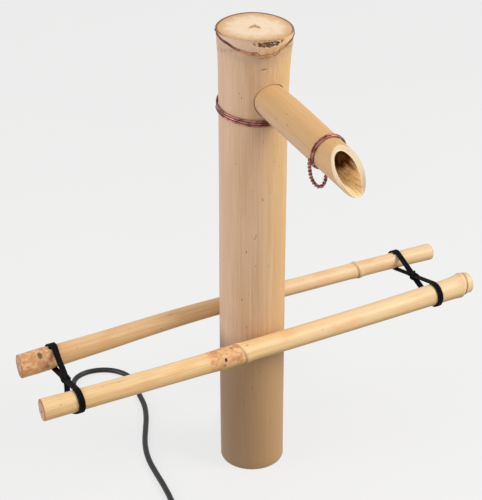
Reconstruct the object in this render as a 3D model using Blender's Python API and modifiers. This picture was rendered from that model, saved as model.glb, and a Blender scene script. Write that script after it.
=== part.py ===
"""Bamboo water spout for a bowl or tub.

An upright bamboo culm hides a small submersible pump in its foot. A soft riser
tube carries the water up inside the culm and over into a slanted bamboo spout.
Two bamboo arms, lashed together at both ends, clamp the culm between them and
rest on the rim of the bowl. The pump's lead leaves the foot through a notch.

Frame: X along the arms, -Y the way the spout points, Z up. The origin is on the
culm's axis, on the flat base of the pump. Lengths are in metres.
"""
import math

import bmesh
import bpy
import numpy as np
from mathutils import Matrix, Vector

# Clearances
FIT_GAP = 0.0003
OVERRUN = 0.002
MERGE = 0.00001

# Culm
CULM_LENGTH = 0.456
CULM_RADIUS = 0.0317
CULM_WALL = 0.0064
CULM_TOP_RADIUS = 0.0349
CULM_RIDGE_RADIUS = 0.0361
CULM_RIDGE_DROP = 0.0019
CULM_RIDGE_LIP = 0.0011
CULM_RIDGE_LEAN = math.radians(17.3)
CULM_RIDGE_LOW_SIDE = math.radians(-87.4)
CULM_CUT_LEAN = math.radians(1.3)
CULM_CUT_LOW_SIDE = math.radians(-118.8)
CULM_NODE_DEPTH = 0.015
CULM_COVE = 0.006
CULM_FLARE_LENGTH = 0.080
CULM_FLARE_GROWTH = 0.0028
CULM_SWELL = 0.0004
CULM_DIMPLE_RADIUS = 0.0045
CULM_DIMPLE_DEPTH = 0.0014
CULM_FOOT_CHAMFER = 0.0006
NOTCH_WIDTH = 0.028
NOTCH_HEIGHT = 0.017
NOTCH_CORNER = 0.003

# Spout
SPOUT_RADIUS = 0.0162
SPOUT_MOUTH_RADIUS = 0.0153
SPOUT_BORE = 0.0116
SPOUT_DROP = 0.052
SPOUT_REACH = 0.1514
SPOUT_SHANK = 0.045
SPOUT_INNER_END = 0.0185
SPOUT_TURN = math.radians(3.5)
SPOUT_FALL = math.radians(11.3)
MOUTH_SLANT = 1.135
MOUTH_EDGE = 0.0005

# Copper wire
WIRE_RADIUS = 0.0009
WIRE_PITCH = 0.00225
CULM_WIRE_TURNS = 3
CULM_WIRE_START = math.radians(152)
SPOUT_WIRE_STATION = 0.1175
SPOUT_WIRE_TURNS = 2
SPOUT_WIRE_START = math.radians(200)
LOOP_WIRE_RADIUS = 0.0007
LOOP_TWIST_RADIUS = 0.00095
LOOP_TWIST_LENGTH = 0.0064
LOOP_DROP = 0.0165

# Arms
ARM_LENGTH = 0.467
ARM_HEIGHT = 0.153
FRONT_ARM_RADIUS = 0.0099
REAR_ARM_RADIUS = 0.0089
FRONT_ARM_SHIFT = -0.004
REAR_ARM_SHIFT = 0.007
FRONT_ARM_TAPER = 0.0006
REAR_ARM_TAPER = 0.0008
ARM_END_FLARE = 0.0009
ARM_EDGE = 0.0008
ARM_PITH_RADIUS = 0.0017
ARM_PITH_DEPTH = 0.012
NODE_SWELL = 0.0011
NODE_LENGTH = 0.017
NODE_GROOVE = 0.0005
NODE_GROOVE_LENGTH = 0.0024
FRONT_NODE_STATION = -0.0385
FRONT_END_NODE_SETBACK = 0.0082
REAR_NODE_STATION = 0.147
REAR_END_NODE_SETBACK = 0.0175

# Lashings
TIE_RADIUS = 0.00065
TIE_PITCH = 0.0036
TIE_TURNS = 3
TIE_SETBACK = 0.0355
TIE_RIGHT_INSET = 0.0062
TIE_SLANT = 0.0096
FRAPPING_TURNS = 2
TIE_TAIL = 0.008
TIE_SEAT = 0.0003

# Riser tube
RISER_RADIUS = 0.0056
RISER_BORE = 0.0043
RISER_IN_SPOUT = 0.030
RISER_STRAIGHT = 0.030

# Pump
PUMP_HALF_WIDTH = 0.0135
PUMP_HEIGHT = 0.030
PUMP_FACE = -0.0065
PUMP_BACK = 0.0198
PUMP_EDGE = 0.0018
ROTOR_HEIGHT = 0.0165
CHAMBER_RADIUS = 0.0105
CHAMBER_FLOOR = 0.0035
WELL_RADIUS = 0.0058
WELL_END = 0.0166
OUTLET_BORE = 0.0028
NOZZLE_FLANGE_RADIUS = 0.0052
NOZZLE_FLANGE = 0.0018
NOZZLE_STEM_RADIUS = 0.0036
NOZZLE_BARB_RADIUS = 0.0040
NOZZLE_BARB_LENGTH = 0.0022
NOZZLE_RISE = 0.015
COVER_DEPTH = 0.0105
COVER_WALL = 0.0013
GRILLE_SLOTS = 5
GRILLE_SLOT_WIDTH = 0.0016
GRILLE_SLOT_LENGTH = 0.0115
GRILLE_PITCH = 0.0036
GRILLE_HEIGHT = 0.0110
WINDOW_WIDTH = 0.0060
WINDOW_HEIGHT = 0.0034
WINDOW_SHIFT = -0.0055
RAIL_DEPTH = 0.0012
RAIL_HEIGHT = 0.0010
SLIDE_LEVEL = 0.0233
SLIDE_HEIGHT = 0.0052
SLIDE_WIDTH = 0.0095
SLIDE_THICKNESS = 0.0010
SLIDE_SHIFT = 0.0042
SLIDE_TAB = 0.0011
SLIDE_TAB_WIDTH = 0.0016
IMPELLER_COVER_RADIUS = 0.0116
IMPELLER_COVER_THICKNESS = 0.0019
INTAKE_INNER = 0.0042
INTAKE_OUTER = 0.0072
INTAKE_SPOKE = 0.0016
BUSH_OUTER = 0.0023
SHAFT_RADIUS = 0.0010
ROTOR_RADIUS = 0.0050
ROTOR_START = 0.0046
HUB_RADIUS = 0.0030
DISC_RADIUS = 0.0084
DISC_THICKNESS = 0.0013
BLADES = 5
BLADE_THICKNESS = 0.0011
BLADE_DEPTH = 0.0060
REAR_BUSH_OUTER = 0.0040
REAR_BUSH_LENGTH = 0.0012

# Lead
CORD_RADIUS = 0.0029
CORD_TOTAL = 1.8
GLAND_LENGTH = 0.0212
GLAND_RADIUS = 0.0050
GLAND_TIP_RADIUS = 0.0037
GLAND_HEIGHT = 0.0092
GLAND_RIBS = 3
COIL_RADIUS = 0.0344
COIL_PITCH = 0.0063
COIL_TUCK_SHARE = 0.22
COIL_LOWER_TURNS = 2.5
COIL_UPPER_TURNS = 2.25
COIL_X = -0.1550
COIL_Y = -0.0920
COIL_START = math.radians(0)
STRAP_THICKNESS = 0.0006
STRAP_WIDTH = 0.0090
STRAP_ANGLE = math.radians(135)

# Plug
PLUG_LENGTH = 0.027
PLUG_WIDTH = 0.0245
PLUG_NECK_LENGTH = 0.020
PLUG_NECK_RADIUS = 0.0052
PLUG_NECK_TIP_RADIUS = 0.0038
PLUG_EDGE = 0.003
PLUG_GRIP_DEPTH = 0.0008
BLADE_PIN_LENGTH = 0.0165
BLADE_PIN_SEAT = 0.005
BLADE_PIN_HEIGHT = 0.0063
BLADE_PIN_THICKNESS = 0.0015
BLADE_PIN_SPACING = 0.0127
BLADE_PIN_HOLE = 0.0016
BLADE_PIN_HOLE_SETBACK = 0.0032

# Derived sizes
CULM_BORE = CULM_RADIUS - CULM_WALL
SPOUT_HEIGHT = CULM_LENGTH - SPOUT_DROP
CULM_FLARE_TOP = (CULM_LENGTH - CULM_RIDGE_DROP
                  - CULM_RIDGE_RADIUS * math.tan(CULM_RIDGE_LEAN))
TIE_STATION = ARM_LENGTH / 2 - TIE_SETBACK
FRONT_END_NODE_STATION = FRONT_ARM_SHIFT + ARM_LENGTH / 2 - FRONT_END_NODE_SETBACK
REAR_END_NODE_STATION = REAR_ARM_SHIFT - ARM_LENGTH / 2 + REAR_END_NODE_SETBACK
CORD_FLOOR = CORD_RADIUS + FIT_GAP / 3
TAU = 2 * math.pi


def fresh_collections():
    for old in list(bpy.data.objects):
        bpy.data.objects.remove(old, do_unlink=True)
    scene = bpy.context.scene
    model = bpy.data.collections.new("bamboo_water_spout")
    tools = bpy.data.collections.new("cutters")
    scene.collection.children.link(model)
    scene.collection.children.link(tools)
    tools.hide_render = True
    return model, tools


MODEL, CUTTERS = fresh_collections()


def material(name, colour, roughness, metallic=0.0):
    mat = bpy.data.materials.new(name)
    mat.use_nodes = True
    shader = mat.node_tree.nodes["Principled BSDF"]
    shader.inputs["Base Color"].default_value = (*colour, 1.0)
    shader.inputs["Roughness"].default_value = roughness
    shader.inputs["Metallic"].default_value = metallic
    return mat


MAT_CULM = material("culm_bamboo", (0.63, 0.44, 0.28), 0.45)
MAT_SPOUT = material("spout_bamboo", (0.64, 0.43, 0.24), 0.42)
MAT_ARM_FRONT = material("front_arm_bamboo", (0.69, 0.46, 0.20), 0.40)
MAT_ARM_REAR = material("rear_arm_bamboo", (0.64, 0.38, 0.16), 0.42)
MAT_COPPER = material("copper_wire", (0.32, 0.11, 0.07), 0.35, 0.9)
MAT_COPPER_SPOUT = material("copper_spout_wire", (0.34, 0.12, 0.07), 0.35, 0.9)
MAT_COPPER_LOOP = material("copper_loop_wire", (0.36, 0.13, 0.08), 0.35, 0.9)
MAT_TIE = material("lashing_cord", (0.012, 0.012, 0.016), 0.40)
MAT_TIE_RIGHT = material("right_lashing_cord", (0.012, 0.012, 0.016), 0.40)
MAT_RISER = material("riser_vinyl", (0.70, 0.74, 0.72), 0.25)
MAT_HOUSING = material("pump_housing_plastic", (0.018, 0.018, 0.020), 0.45)
MAT_COVER = material("pump_cover_plastic", (0.025, 0.025, 0.027), 0.50)
MAT_SLIDE = material("flow_slide_plastic", (0.05, 0.05, 0.055), 0.45)
MAT_NOZZLE = material("nozzle_plastic", (0.03, 0.03, 0.033), 0.40)
MAT_IMPELLER_COVER = material("impeller_cover_plastic", (0.04, 0.04, 0.042), 0.50)
MAT_IMPELLER = material("impeller_plastic", (0.75, 0.75, 0.72), 0.40)
MAT_SHAFT = material("ceramic_shaft", (0.85, 0.84, 0.80), 0.20)
MAT_BUSH = material("rubber_bush", (0.02, 0.02, 0.02), 0.80)
MAT_BUSH_REAR = material("rear_rubber_bush", (0.02, 0.02, 0.02), 0.80)
MAT_GLAND = material("gland_pvc", (0.014, 0.014, 0.016), 0.50)
MAT_CORD = material("cord_pvc", (0.010, 0.010, 0.012), 0.38)
MAT_COIL = material("cord_coil_pvc", (0.010, 0.010, 0.012), 0.38)
MAT_STRAP = material("strap_fabric", (0.02, 0.02, 0.022), 0.90)
MAT_PLUG = material("plug_pvc", (0.014, 0.014, 0.016), 0.45)
MAT_PIN_LEFT = material("left_blade_brass", (0.78, 0.65, 0.38), 0.25, 1.0)
MAT_PIN_RIGHT = material("right_blade_brass", (0.78, 0.65, 0.38), 0.25, 1.0)


def add_object(name, mesh, mat, home=None):
    obj = bpy.data.objects.new(name, mesh)
    (home or MODEL).objects.link(obj)
    mesh.materials.append(mat)
    return obj


def smooth(mesh):
    mesh.shade_smooth()
    mesh.set_sharp_from_angle(angle=math.radians(35))


def evaluated_mesh(obj):
    """The mesh that the object's modifiers make, as a new mesh."""
    bpy.context.view_layer.update()
    graph = bpy.context.evaluated_depsgraph_get()
    return bpy.data.meshes.new_from_object(obj.evaluated_get(graph))


def welded(mesh, distance=MERGE):
    bm = bmesh.new()
    bm.from_mesh(mesh)
    bmesh.ops.remove_doubles(bm, verts=bm.verts, dist=distance)
    bm.to_mesh(mesh)
    bm.free()
    return mesh


def baked(obj):
    """Replace an object that has modifiers by one with the mesh they make."""
    mesh = welded(evaluated_mesh(obj))
    obj.modifiers.clear()
    obj.data = mesh
    return obj


def turned(name, profile, steps, mat, home=None):
    """Turn a (radius, height) profile about Z. It runs down the outer side."""
    mesh = bpy.data.meshes.new(name)
    verts = [(r, 0.0, z) for r, z in profile]
    closed = profile[0][0] > MERGE
    edges = [(i, i + 1) for i in range(len(verts) - 1)]
    if closed:
        edges.append((len(verts) - 1, 0))
    mesh.from_pydata(verts, edges, [])
    obj = add_object(name, mesh, mat, home)
    screw = obj.modifiers.new("turn", "SCREW")
    screw.axis = "Z"
    screw.steps = steps
    screw.render_steps = steps
    screw.use_merge_vertices = True
    screw.merge_threshold = MERGE
    screw.use_smooth_shade = True
    return baked(obj)


def box(name, low, high, mat, home=None, edge=0.0, segments=2):
    """A box between two corners, with rounded edges."""
    bm = bmesh.new()
    bmesh.ops.create_cube(bm, size=1.0)
    size = Vector(high) - Vector(low)
    middle = (Vector(high) + Vector(low)) / 2
    bmesh.ops.scale(bm, vec=size, verts=bm.verts)
    mesh = bpy.data.meshes.new(name)
    bm.to_mesh(mesh)
    bm.free()
    obj = add_object(name, mesh, mat, home)
    obj.location = middle
    if edge:
        bevel = obj.modifiers.new("edges", "BEVEL")
        bevel.width = edge
        bevel.segments = segments
        bevel.limit_method = "ANGLE"
    return obj


def cylinder(name, radius, start, end, sides, mat, home=None):
    """A cylinder between two points."""
    axis = Vector(end) - Vector(start)
    bm = bmesh.new()
    bmesh.ops.create_cone(bm, cap_ends=True, segments=sides, radius1=radius,
                          radius2=radius, depth=axis.length)
    mesh = bpy.data.meshes.new(name)
    bm.to_mesh(mesh)
    bm.free()
    obj = add_object(name, mesh, mat, home)
    obj.location = (Vector(start) + Vector(end)) / 2
    obj.rotation_mode = "QUATERNION"
    obj.rotation_quaternion = axis.to_track_quat("Z", "Y")
    return obj


def tube_curve(name, points, radius, mat, resolution=2, home=None):
    """A round tube along the points, as a curve with filled caps."""
    data = bpy.data.curves.new(name, "CURVE")
    data.dimensions = "3D"
    data.bevel_depth = radius
    data.bevel_resolution = resolution
    data.use_fill_caps = True
    spline = data.splines.new("POLY")
    spline.points.add(len(points) - 1)
    for knot, p in zip(spline.points, points):
        knot.co = (p[0], p[1], p[2], 1.0)
    data.materials.append(mat)
    obj = bpy.data.objects.new(name, data)
    (home or MODEL).objects.link(obj)
    return obj


def tube_mesh(name, points, radius, mat, resolution=2, home=None):
    """The same tube as a closed mesh, ready to be cut."""
    curve = tube_curve(name + "_path", points, radius, mat, resolution, home)
    mesh = welded(evaluated_mesh(curve))
    place = curve.matrix_world.copy()
    bpy.data.objects.remove(curve, do_unlink=True)
    obj = bpy.data.objects.new(name, mesh)
    (home or MODEL).objects.link(obj)
    obj.matrix_world = place
    return obj


def combine(obj, other, operation="DIFFERENCE"):
    """Cut one object by another, or join it, and keep the result as its mesh."""
    other.hide_render = True
    other.display_type = "WIRE"
    boolean = obj.modifiers.new("boolean", "BOOLEAN")
    boolean.operation = operation
    boolean.solver = "EXACT"
    boolean.object = other
    mesh = evaluated_mesh(obj)
    obj.modifiers.clear()
    obj.data = welded(mesh)
    return obj


def spread(points, spacing):
    """Points at an even spacing on a smooth curve through the given points."""
    p = np.array(points, float)
    first = 2 * p[0] - p[1]
    last = 2 * p[-1] - p[-2]
    q = np.vstack([first, p, last])
    fine = []
    for i in range(1, len(q) - 2):
        t = np.linspace(0, 1, 40, endpoint=False)[:, None]
        a, b, c, d = q[i - 1], q[i], q[i + 1], q[i + 2]
        fine.append(0.5 * (2 * b + (c - a) * t + (2 * a - 5 * b + 4 * c - d) * t**2
                           + (3 * b - a - 3 * c + d) * t**3))
    fine = np.vstack(fine + [p[-1:]])
    run = np.concatenate([[0], np.cumsum(np.linalg.norm(np.diff(fine, axis=0), axis=1))])
    count = max(2, int(round(run[-1] / spacing)) + 1)
    at = np.linspace(0, run[-1], count)
    return np.stack([np.interp(at, run, fine[:, k]) for k in range(3)], axis=1)


def path_length(points):
    return float(np.linalg.norm(np.diff(np.array(points), axis=0), axis=1).sum())


def self_gap(points, radius, skip):
    """Least gap between runs of a wound tube that are apart along its length."""
    p = np.array(points, float)
    run = np.concatenate([[0], np.cumsum(np.linalg.norm(np.diff(p, axis=0), axis=1))])
    fine = np.linspace(0, run[-1], len(p) * 6)
    q = np.stack([np.interp(fine, run, p[:, k]) for k in range(3)], axis=1)
    far = np.abs(fine[:, None] - fine[None, :]) > skip
    apart = np.linalg.norm(q[:, None] - q[None, :], axis=2)
    return float(apart[far].min() - 2 * radius)


def spout_axes():
    """Directions of the spout: along it, across it and up from it."""
    along = Vector((math.sin(SPOUT_TURN) * math.cos(SPOUT_FALL),
                    -math.cos(SPOUT_TURN) * math.cos(SPOUT_FALL),
                    -math.sin(SPOUT_FALL)))
    across = Vector((math.cos(SPOUT_TURN), math.sin(SPOUT_TURN), 0.0))
    up = across.cross(along) * -1
    return along, across, up


SPOUT_ROOT = Vector((0.0, 0.0, SPOUT_HEIGHT))
SPOUT_ROTATION = (math.pi / 2 + SPOUT_FALL, 0.0, SPOUT_TURN)


# The culm. Shares of the flare: depth below the ridge, growth of the radius.
FLARE_SHARES = ((0.05, 0.86), (0.14, 0.62), (0.28, 0.38), (0.48, 0.18),
                (0.72, 0.06), (1.0, 0.0))
SWELL_SHARES = ((0.35, 0.6), (0.6, 0.9), (0.85, 0.4))


def leaning(lean, low_side, height):
    """Lift a flat ring to a height and shear it, so that it falls to one side."""
    fall = math.tan(lean)
    return Matrix(((1.0, 0.0, 0.0, 0.0), (0.0, 1.0, 0.0, 0.0),
                   (-fall * math.cos(low_side), -fall * math.sin(low_side), 1.0, height),
                   (0.0, 0.0, 0.0, 1.0)))


def make_culm():
    """The culm with its sloping sheath scar, its sloping cut and its dimple."""
    ridge = CULM_LENGTH - CULM_RIDGE_DROP
    room = CULM_TOP_RADIUS * math.tan(CULM_CUT_LEAN) + OVERRUN
    base = CULM_RADIUS + CULM_SWELL
    profile = [(0.0, CULM_LENGTH + room), (CULM_TOP_RADIUS, CULM_LENGTH + room),
               (CULM_TOP_RADIUS, ridge)]
    for depth, growth in FLARE_SHARES:
        profile.append((base + CULM_FLARE_GROWTH * growth,
                        CULM_FLARE_TOP - CULM_FLARE_LENGTH * depth))
    low = profile[-1][1]
    for depth, growth in SWELL_SHARES:
        profile.append((CULM_RADIUS + CULM_SWELL * growth, low * (1 - depth)))
    top = CULM_LENGTH - CULM_NODE_DEPTH
    profile += [
        (CULM_RADIUS, CULM_FOOT_CHAMFER * 2),
        (CULM_RADIUS - CULM_FOOT_CHAMFER, 0.0),
        (CULM_BORE + CULM_FOOT_CHAMFER, 0.0),
        (CULM_BORE, CULM_FOOT_CHAMFER * 2),
        (CULM_BORE, top - CULM_COVE),
        (CULM_BORE - CULM_COVE * 0.3, top - CULM_COVE * 0.3),
        (CULM_BORE - CULM_COVE, top),
        (0.0, top),
    ]
    culm = turned("culm", profile, 48, MAT_CULM)
    seat = CULM_TOP_RADIUS - CULM_RIDGE_LIP * 2
    scar = turned("sheath_scar", [
        (seat, CULM_RIDGE_LIP * 2),
        (CULM_TOP_RADIUS - CULM_RIDGE_LIP / 2, CULM_RIDGE_LIP * 2),
        (CULM_RIDGE_RADIUS, CULM_RIDGE_LIP / 2),
        (CULM_RIDGE_RADIUS, -CULM_RIDGE_LIP / 2),
        (CULM_TOP_RADIUS - CULM_RIDGE_LIP / 2, -CULM_RIDGE_LIP),
        (seat, -CULM_RIDGE_LIP)], 48, MAT_CULM, CUTTERS)
    scar.data.transform(leaning(CULM_RIDGE_LEAN, CULM_RIDGE_LOW_SIDE, ridge))
    combine(culm, scar, "UNION")
    slab = CULM_TOP_RADIUS * 4
    cut = turned("top_cut", [(0.0, slab), (slab, slab), (slab, 0.0), (0.0, 0.0)], 24,
                 MAT_CULM, CUTTERS)
    place = leaning(CULM_CUT_LEAN, CULM_CUT_LOW_SIDE, CULM_LENGTH)
    cut.data.transform(place)
    combine(culm, cut)
    dimple = turned("centre_dimple", [
        (0.0, CULM_DIMPLE_DEPTH), (CULM_DIMPLE_RADIUS, CULM_DIMPLE_DEPTH),
        (CULM_DIMPLE_RADIUS * 0.6, -CULM_DIMPLE_DEPTH * 0.7), (0.0, -CULM_DIMPLE_DEPTH)],
        24, MAT_CULM, CUTTERS)
    dimple.data.transform(place)
    combine(culm, dimple)
    along = spout_axes()[0]
    hole = cylinder("spout_hole", SPOUT_RADIUS + FIT_GAP,
                    SPOUT_ROOT, SPOUT_ROOT + along * (CULM_RIDGE_RADIUS + SPOUT_RADIUS),
                    40, MAT_CULM, CUTTERS)
    combine(culm, hole)
    notch = box("cord_notch", (-NOTCH_WIDTH / 2, CULM_BORE / 2, -NOTCH_HEIGHT),
                (NOTCH_WIDTH / 2, CULM_RADIUS + OVERRUN, NOTCH_HEIGHT),
                MAT_CULM, CUTTERS, NOTCH_CORNER)
    combine(culm, notch)
    smooth(culm.data)
    return culm


# The spout, modelled along its own Z and laid down by its rotation.
def make_spout():
    far = SPOUT_REACH + MOUTH_SLANT * SPOUT_RADIUS + OVERRUN
    profile = [
        (SPOUT_BORE, far),
        (SPOUT_MOUTH_RADIUS, far),
        (SPOUT_MOUTH_RADIUS, SPOUT_REACH),
        ((SPOUT_RADIUS + SPOUT_MOUTH_RADIUS) / 2, (SPOUT_SHANK + SPOUT_REACH) / 2),
        (SPOUT_RADIUS, SPOUT_SHANK),
        (SPOUT_RADIUS, SPOUT_INNER_END + MOUTH_EDGE),
        (SPOUT_RADIUS - MOUTH_EDGE, SPOUT_INNER_END),
        (SPOUT_BORE + MOUTH_EDGE, SPOUT_INNER_END),
        (SPOUT_BORE, SPOUT_INNER_END + MOUTH_EDGE),
    ]
    spout = turned("spout", profile, 40, MAT_SPOUT)
    slab = SPOUT_RADIUS * 8
    cutter = box("mouth_cut", (-slab / 2, -slab / 2, 0.0), (slab / 2, slab / 2, slab),
                 MAT_SPOUT, CUTTERS)
    tilt = -math.atan(MOUTH_SLANT)
    cutter.rotation_euler = (tilt, 0.0, 0.0)
    cutter.location = (0.0, -math.sin(tilt) * slab / 2,
                       SPOUT_REACH + math.cos(tilt) * slab / 2)
    combine(spout, cutter)
    smooth(spout.data)
    spout.location = SPOUT_ROOT
    spout.rotation_euler = SPOUT_ROTATION
    return spout


def wound_ring(radius, pitch, turns, start, tube):
    """A helix about Z, with straight ends one tube diameter long."""
    count = 24 * turns
    points = []
    for i in range(count + 1):
        a = start + TAU * i / 24
        z = pitch * (i / 24 - turns / 2)
        points.append((radius * math.cos(a), radius * math.sin(a), z))
    first = Vector(points[0]) - Vector(points[1])
    last = Vector(points[-1]) - Vector(points[-2])
    points.insert(0, tuple(Vector(points[0]) + first.normalized() * 2 * tube))
    points.append(tuple(Vector(points[-1]) + last.normalized() * 2 * tube))
    return points


def culm_radius_at(height):
    """Outer radius where the wall flares out to the head."""
    depths, growths = zip(*FLARE_SHARES)
    depth = (CULM_FLARE_TOP - height) / CULM_FLARE_LENGTH
    return CULM_RADIUS + CULM_SWELL + CULM_FLARE_GROWTH * float(np.interp(depth, depths, growths))


def make_culm_wire():
    """Turns right under the spout, where the last turn has run on by a share."""
    share = (TAU * 0.75 + SPOUT_TURN - CULM_WIRE_START) % TAU / TAU
    highest = WIRE_PITCH * (CULM_WIRE_TURNS / 2 - 1 + share) + WIRE_RADIUS
    spout_low = SPOUT_HEIGHT - SPOUT_RADIUS / math.cos(SPOUT_FALL)
    radius = (culm_radius_at(spout_low - CULM_RADIUS * math.tan(SPOUT_FALL))
              + FIT_GAP + WIRE_RADIUS)
    underside = spout_low - (radius + WIRE_RADIUS) * math.tan(SPOUT_FALL)
    points = wound_ring(radius, WIRE_PITCH, CULM_WIRE_TURNS, CULM_WIRE_START, WIRE_RADIUS)
    wire = tube_mesh("culm_wire", points, WIRE_RADIUS, MAT_COPPER, 1)
    wire.location = (0.0, 0.0, underside - FIT_GAP - highest)
    print("culm_wire least gap to itself (mm):",
          round(1000 * self_gap(points, WIRE_RADIUS, radius * 2), 2))
    return wire


def spout_radius_at(station):
    share = (station - SPOUT_SHANK) / (SPOUT_REACH - SPOUT_SHANK)
    return SPOUT_RADIUS + (SPOUT_MOUTH_RADIUS - SPOUT_RADIUS) * min(max(share, 0), 1)


def make_spout_wire():
    clear = spout_radius_at(SPOUT_WIRE_STATION - WIRE_PITCH * SPOUT_WIRE_TURNS)
    radius = clear + FIT_GAP + WIRE_RADIUS
    points = wound_ring(radius, WIRE_PITCH, SPOUT_WIRE_TURNS, SPOUT_WIRE_START, WIRE_RADIUS)
    wire = tube_mesh("spout_wire", points, WIRE_RADIUS, MAT_COPPER_SPOUT, 1)
    along = spout_axes()[0]
    wire.location = SPOUT_ROOT + along * SPOUT_WIRE_STATION
    wire.rotation_euler = SPOUT_ROTATION
    print("spout_wire least gap to itself (mm):",
          round(1000 * self_gap(points, WIRE_RADIUS, radius * 2), 2))
    return wire


# The slack loop of twisted wire under the spout: shares of the ring's angle and
# of the drop, from the left of the spout to below it.
LOOP_SHARES = ((0.0, 0.0), (0.16, 0.42), (0.34, 0.82), (0.52, 1.0), (0.70, 0.86),
               (0.86, 0.50), (1.0, 0.10))
LOOP_FROM = math.radians(172)
LOOP_TO = math.radians(292)


def make_wire_loop():
    """One wire laid out and back round itself along a slack arc."""
    ring = (spout_radius_at(SPOUT_WIRE_STATION) + FIT_GAP + LOOP_TWIST_RADIUS
            + LOOP_WIRE_RADIUS)
    station = WIRE_PITCH * SPOUT_WIRE_TURNS / 2 + WIRE_RADIUS * 2 + LOOP_TWIST_RADIUS * 2
    arc = []
    for turn, drop in LOOP_SHARES:
        a = LOOP_FROM + (LOOP_TO - LOOP_FROM) * turn
        arc.append((ring * math.cos(a), ring * math.sin(a) - LOOP_DROP * drop, station))
    line = spread(arc, LOOP_TWIST_LENGTH / 6)
    tangent = np.gradient(line, axis=0)
    tangent /= np.linalg.norm(tangent, axis=1)[:, None]
    side = np.cross(tangent, (0.0, 0.0, 1.0))
    side /= np.linalg.norm(side, axis=1)[:, None]
    other = np.cross(tangent, side)
    phase = TAU * np.arange(len(line)) / 6
    out = (line + LOOP_TWIST_RADIUS * (np.cos(phase)[:, None] * side
                                       + np.sin(phase)[:, None] * other))
    back = (line - LOOP_TWIST_RADIUS * (np.cos(phase)[:, None] * side
                                        + np.sin(phase)[:, None] * other))
    tip = line[-1] + tangent[-1] * LOOP_TWIST_RADIUS
    points = [tuple(p) for p in out] + [tuple(tip)] + [tuple(p) for p in back[::-1]]
    loop = tube_mesh("wire_loop", points, LOOP_WIRE_RADIUS, MAT_COPPER_LOOP, 0)
    along = spout_axes()[0]
    loop.location = SPOUT_ROOT + along * SPOUT_WIRE_STATION
    loop.rotation_euler = SPOUT_ROTATION
    apart = np.linalg.norm(out[:-2, None] - back[None, :-2], axis=2).min()
    print("wire_loop least gap to itself (mm):",
          round(1000 * float(apart - 2 * LOOP_WIRE_RADIUS), 2))
    return loop


# The riser: up from the nozzle, back against the culm's wall, over into the spout.
def make_riser():
    rest = SPOUT_BORE - RISER_RADIUS - FIT_GAP
    back = -(CULM_BORE - RISER_RADIUS - FIT_GAP)
    sin_fall, cos_fall = math.sin(SPOUT_FALL), math.cos(SPOUT_FALL)
    bend = (SPOUT_INNER_END * cos_fall - rest * sin_fall - back) / (1 + sin_fall)
    bend -= FIT_GAP * 2
    centre = (back + bend,
              SPOUT_HEIGHT - sin_fall * SPOUT_INNER_END - cos_fall * (rest + bend))
    foot = PUMP_HEIGHT + FIT_GAP
    straight = foot + NOZZLE_RISE + RISER_STRAIGHT
    flat = [(0.0, foot), (0.0, foot + NOZZLE_RISE), (0.0, straight)]
    for i in range(1, 15):
        t = i / 15
        blend = (1 - math.cos(math.pi * t)) / 2
        flat.append((back * blend, straight + (centre[1] - straight) * t))
    for i in range(14):
        a = math.pi - (math.pi / 2 + SPOUT_FALL) * i / 13
        flat.append((centre[0] + bend * math.cos(a), centre[1] + bend * math.sin(a)))
    end = SPOUT_INNER_END + RISER_IN_SPOUT
    reach = end * cos_fall - rest * sin_fall
    flat.append((reach, SPOUT_HEIGHT - sin_fall * end - cos_fall * rest))
    heading = Vector((math.sin(SPOUT_TURN), -math.cos(SPOUT_TURN), 0.0))
    points = [tuple(heading * q + Vector((0.0, 0.0, z))) for q, z in flat]
    riser = tube_mesh("riser_tube", points, RISER_RADIUS, MAT_RISER, 3)
    first = Vector(points[0]) - Vector((0.0, 0.0, OVERRUN))
    last = Vector(points[-1]) + (Vector(points[-1]) - Vector(points[-2])).normalized() * OVERRUN
    core = tube_mesh("riser_core", [tuple(first)] + points[1:-1] + [tuple(last)],
                     RISER_BORE, MAT_RISER, 2, CUTTERS)
    combine(riser, core)
    smooth(riser.data)
    print("riser bend radius (mm):", round(1000 * bend, 1))
    return riser


# Arms: a tapered cane with swollen nodes, turned about its own axis.
def cane_radius(radius, taper, shift, x):
    share = (x - shift) / (ARM_LENGTH / 2)
    return radius + taper * share + ARM_END_FLARE * share ** 4


def cane_profile(radius, taper, nodes, pith_low):
    """Radii along the cane from its right end down to its left end."""
    half = ARM_LENGTH / 2

    def plain(x):
        return cane_radius(radius, taper, 0.0, x)

    stations = [half - ARM_EDGE, -half + ARM_EDGE]
    for station in nodes:
        for share, _ in NODE_SHARES:
            x = station + NODE_LENGTH * share
            if abs(x) < half - ARM_EDGE * 2:
                stations.append(x)
    for share in (-0.85, -0.6, -0.3, 0.0, 0.35, 0.65, 0.85):
        stations.append(half * share)
    stations = sorted(set(stations), reverse=True)

    def swell(x):
        total = 0.0
        for station in nodes:
            s = (x - station) / NODE_LENGTH
            table = sorted(NODE_SHARES)
            shares = [row[0] for row in table]
            heights = [row[1] for row in table]
            total += NODE_SWELL * float(np.interp(s, shares, heights, 0.0, 0.0))
            if abs(x - station) < NODE_GROOVE_LENGTH / 2:
                total -= NODE_GROOVE
        return total

    profile = [(0.0, half), (plain(half) + swell(half) - ARM_EDGE, half)]
    profile += [(plain(x) + swell(x), x) for x in stations]
    profile.append((plain(-half) + swell(-half) - ARM_EDGE, -half))
    if pith_low:
        profile += [(ARM_PITH_RADIUS, -half), (ARM_PITH_RADIUS * 0.8, -half + ARM_PITH_DEPTH),
                    (0.0, -half + ARM_PITH_DEPTH)]
    else:
        profile.append((0.0, -half))
    return profile


# Shares of a node's length and of its swelling, either side of its groove.
NODE_SHARES = ((-0.9, 0.0), (-0.45, 0.30), (-0.16, 0.85), (-0.05, 1.0), (0.0, 0.75),
               (0.05, 1.0), (0.2, 0.72), (0.5, 0.25), (0.95, 0.0))


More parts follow.
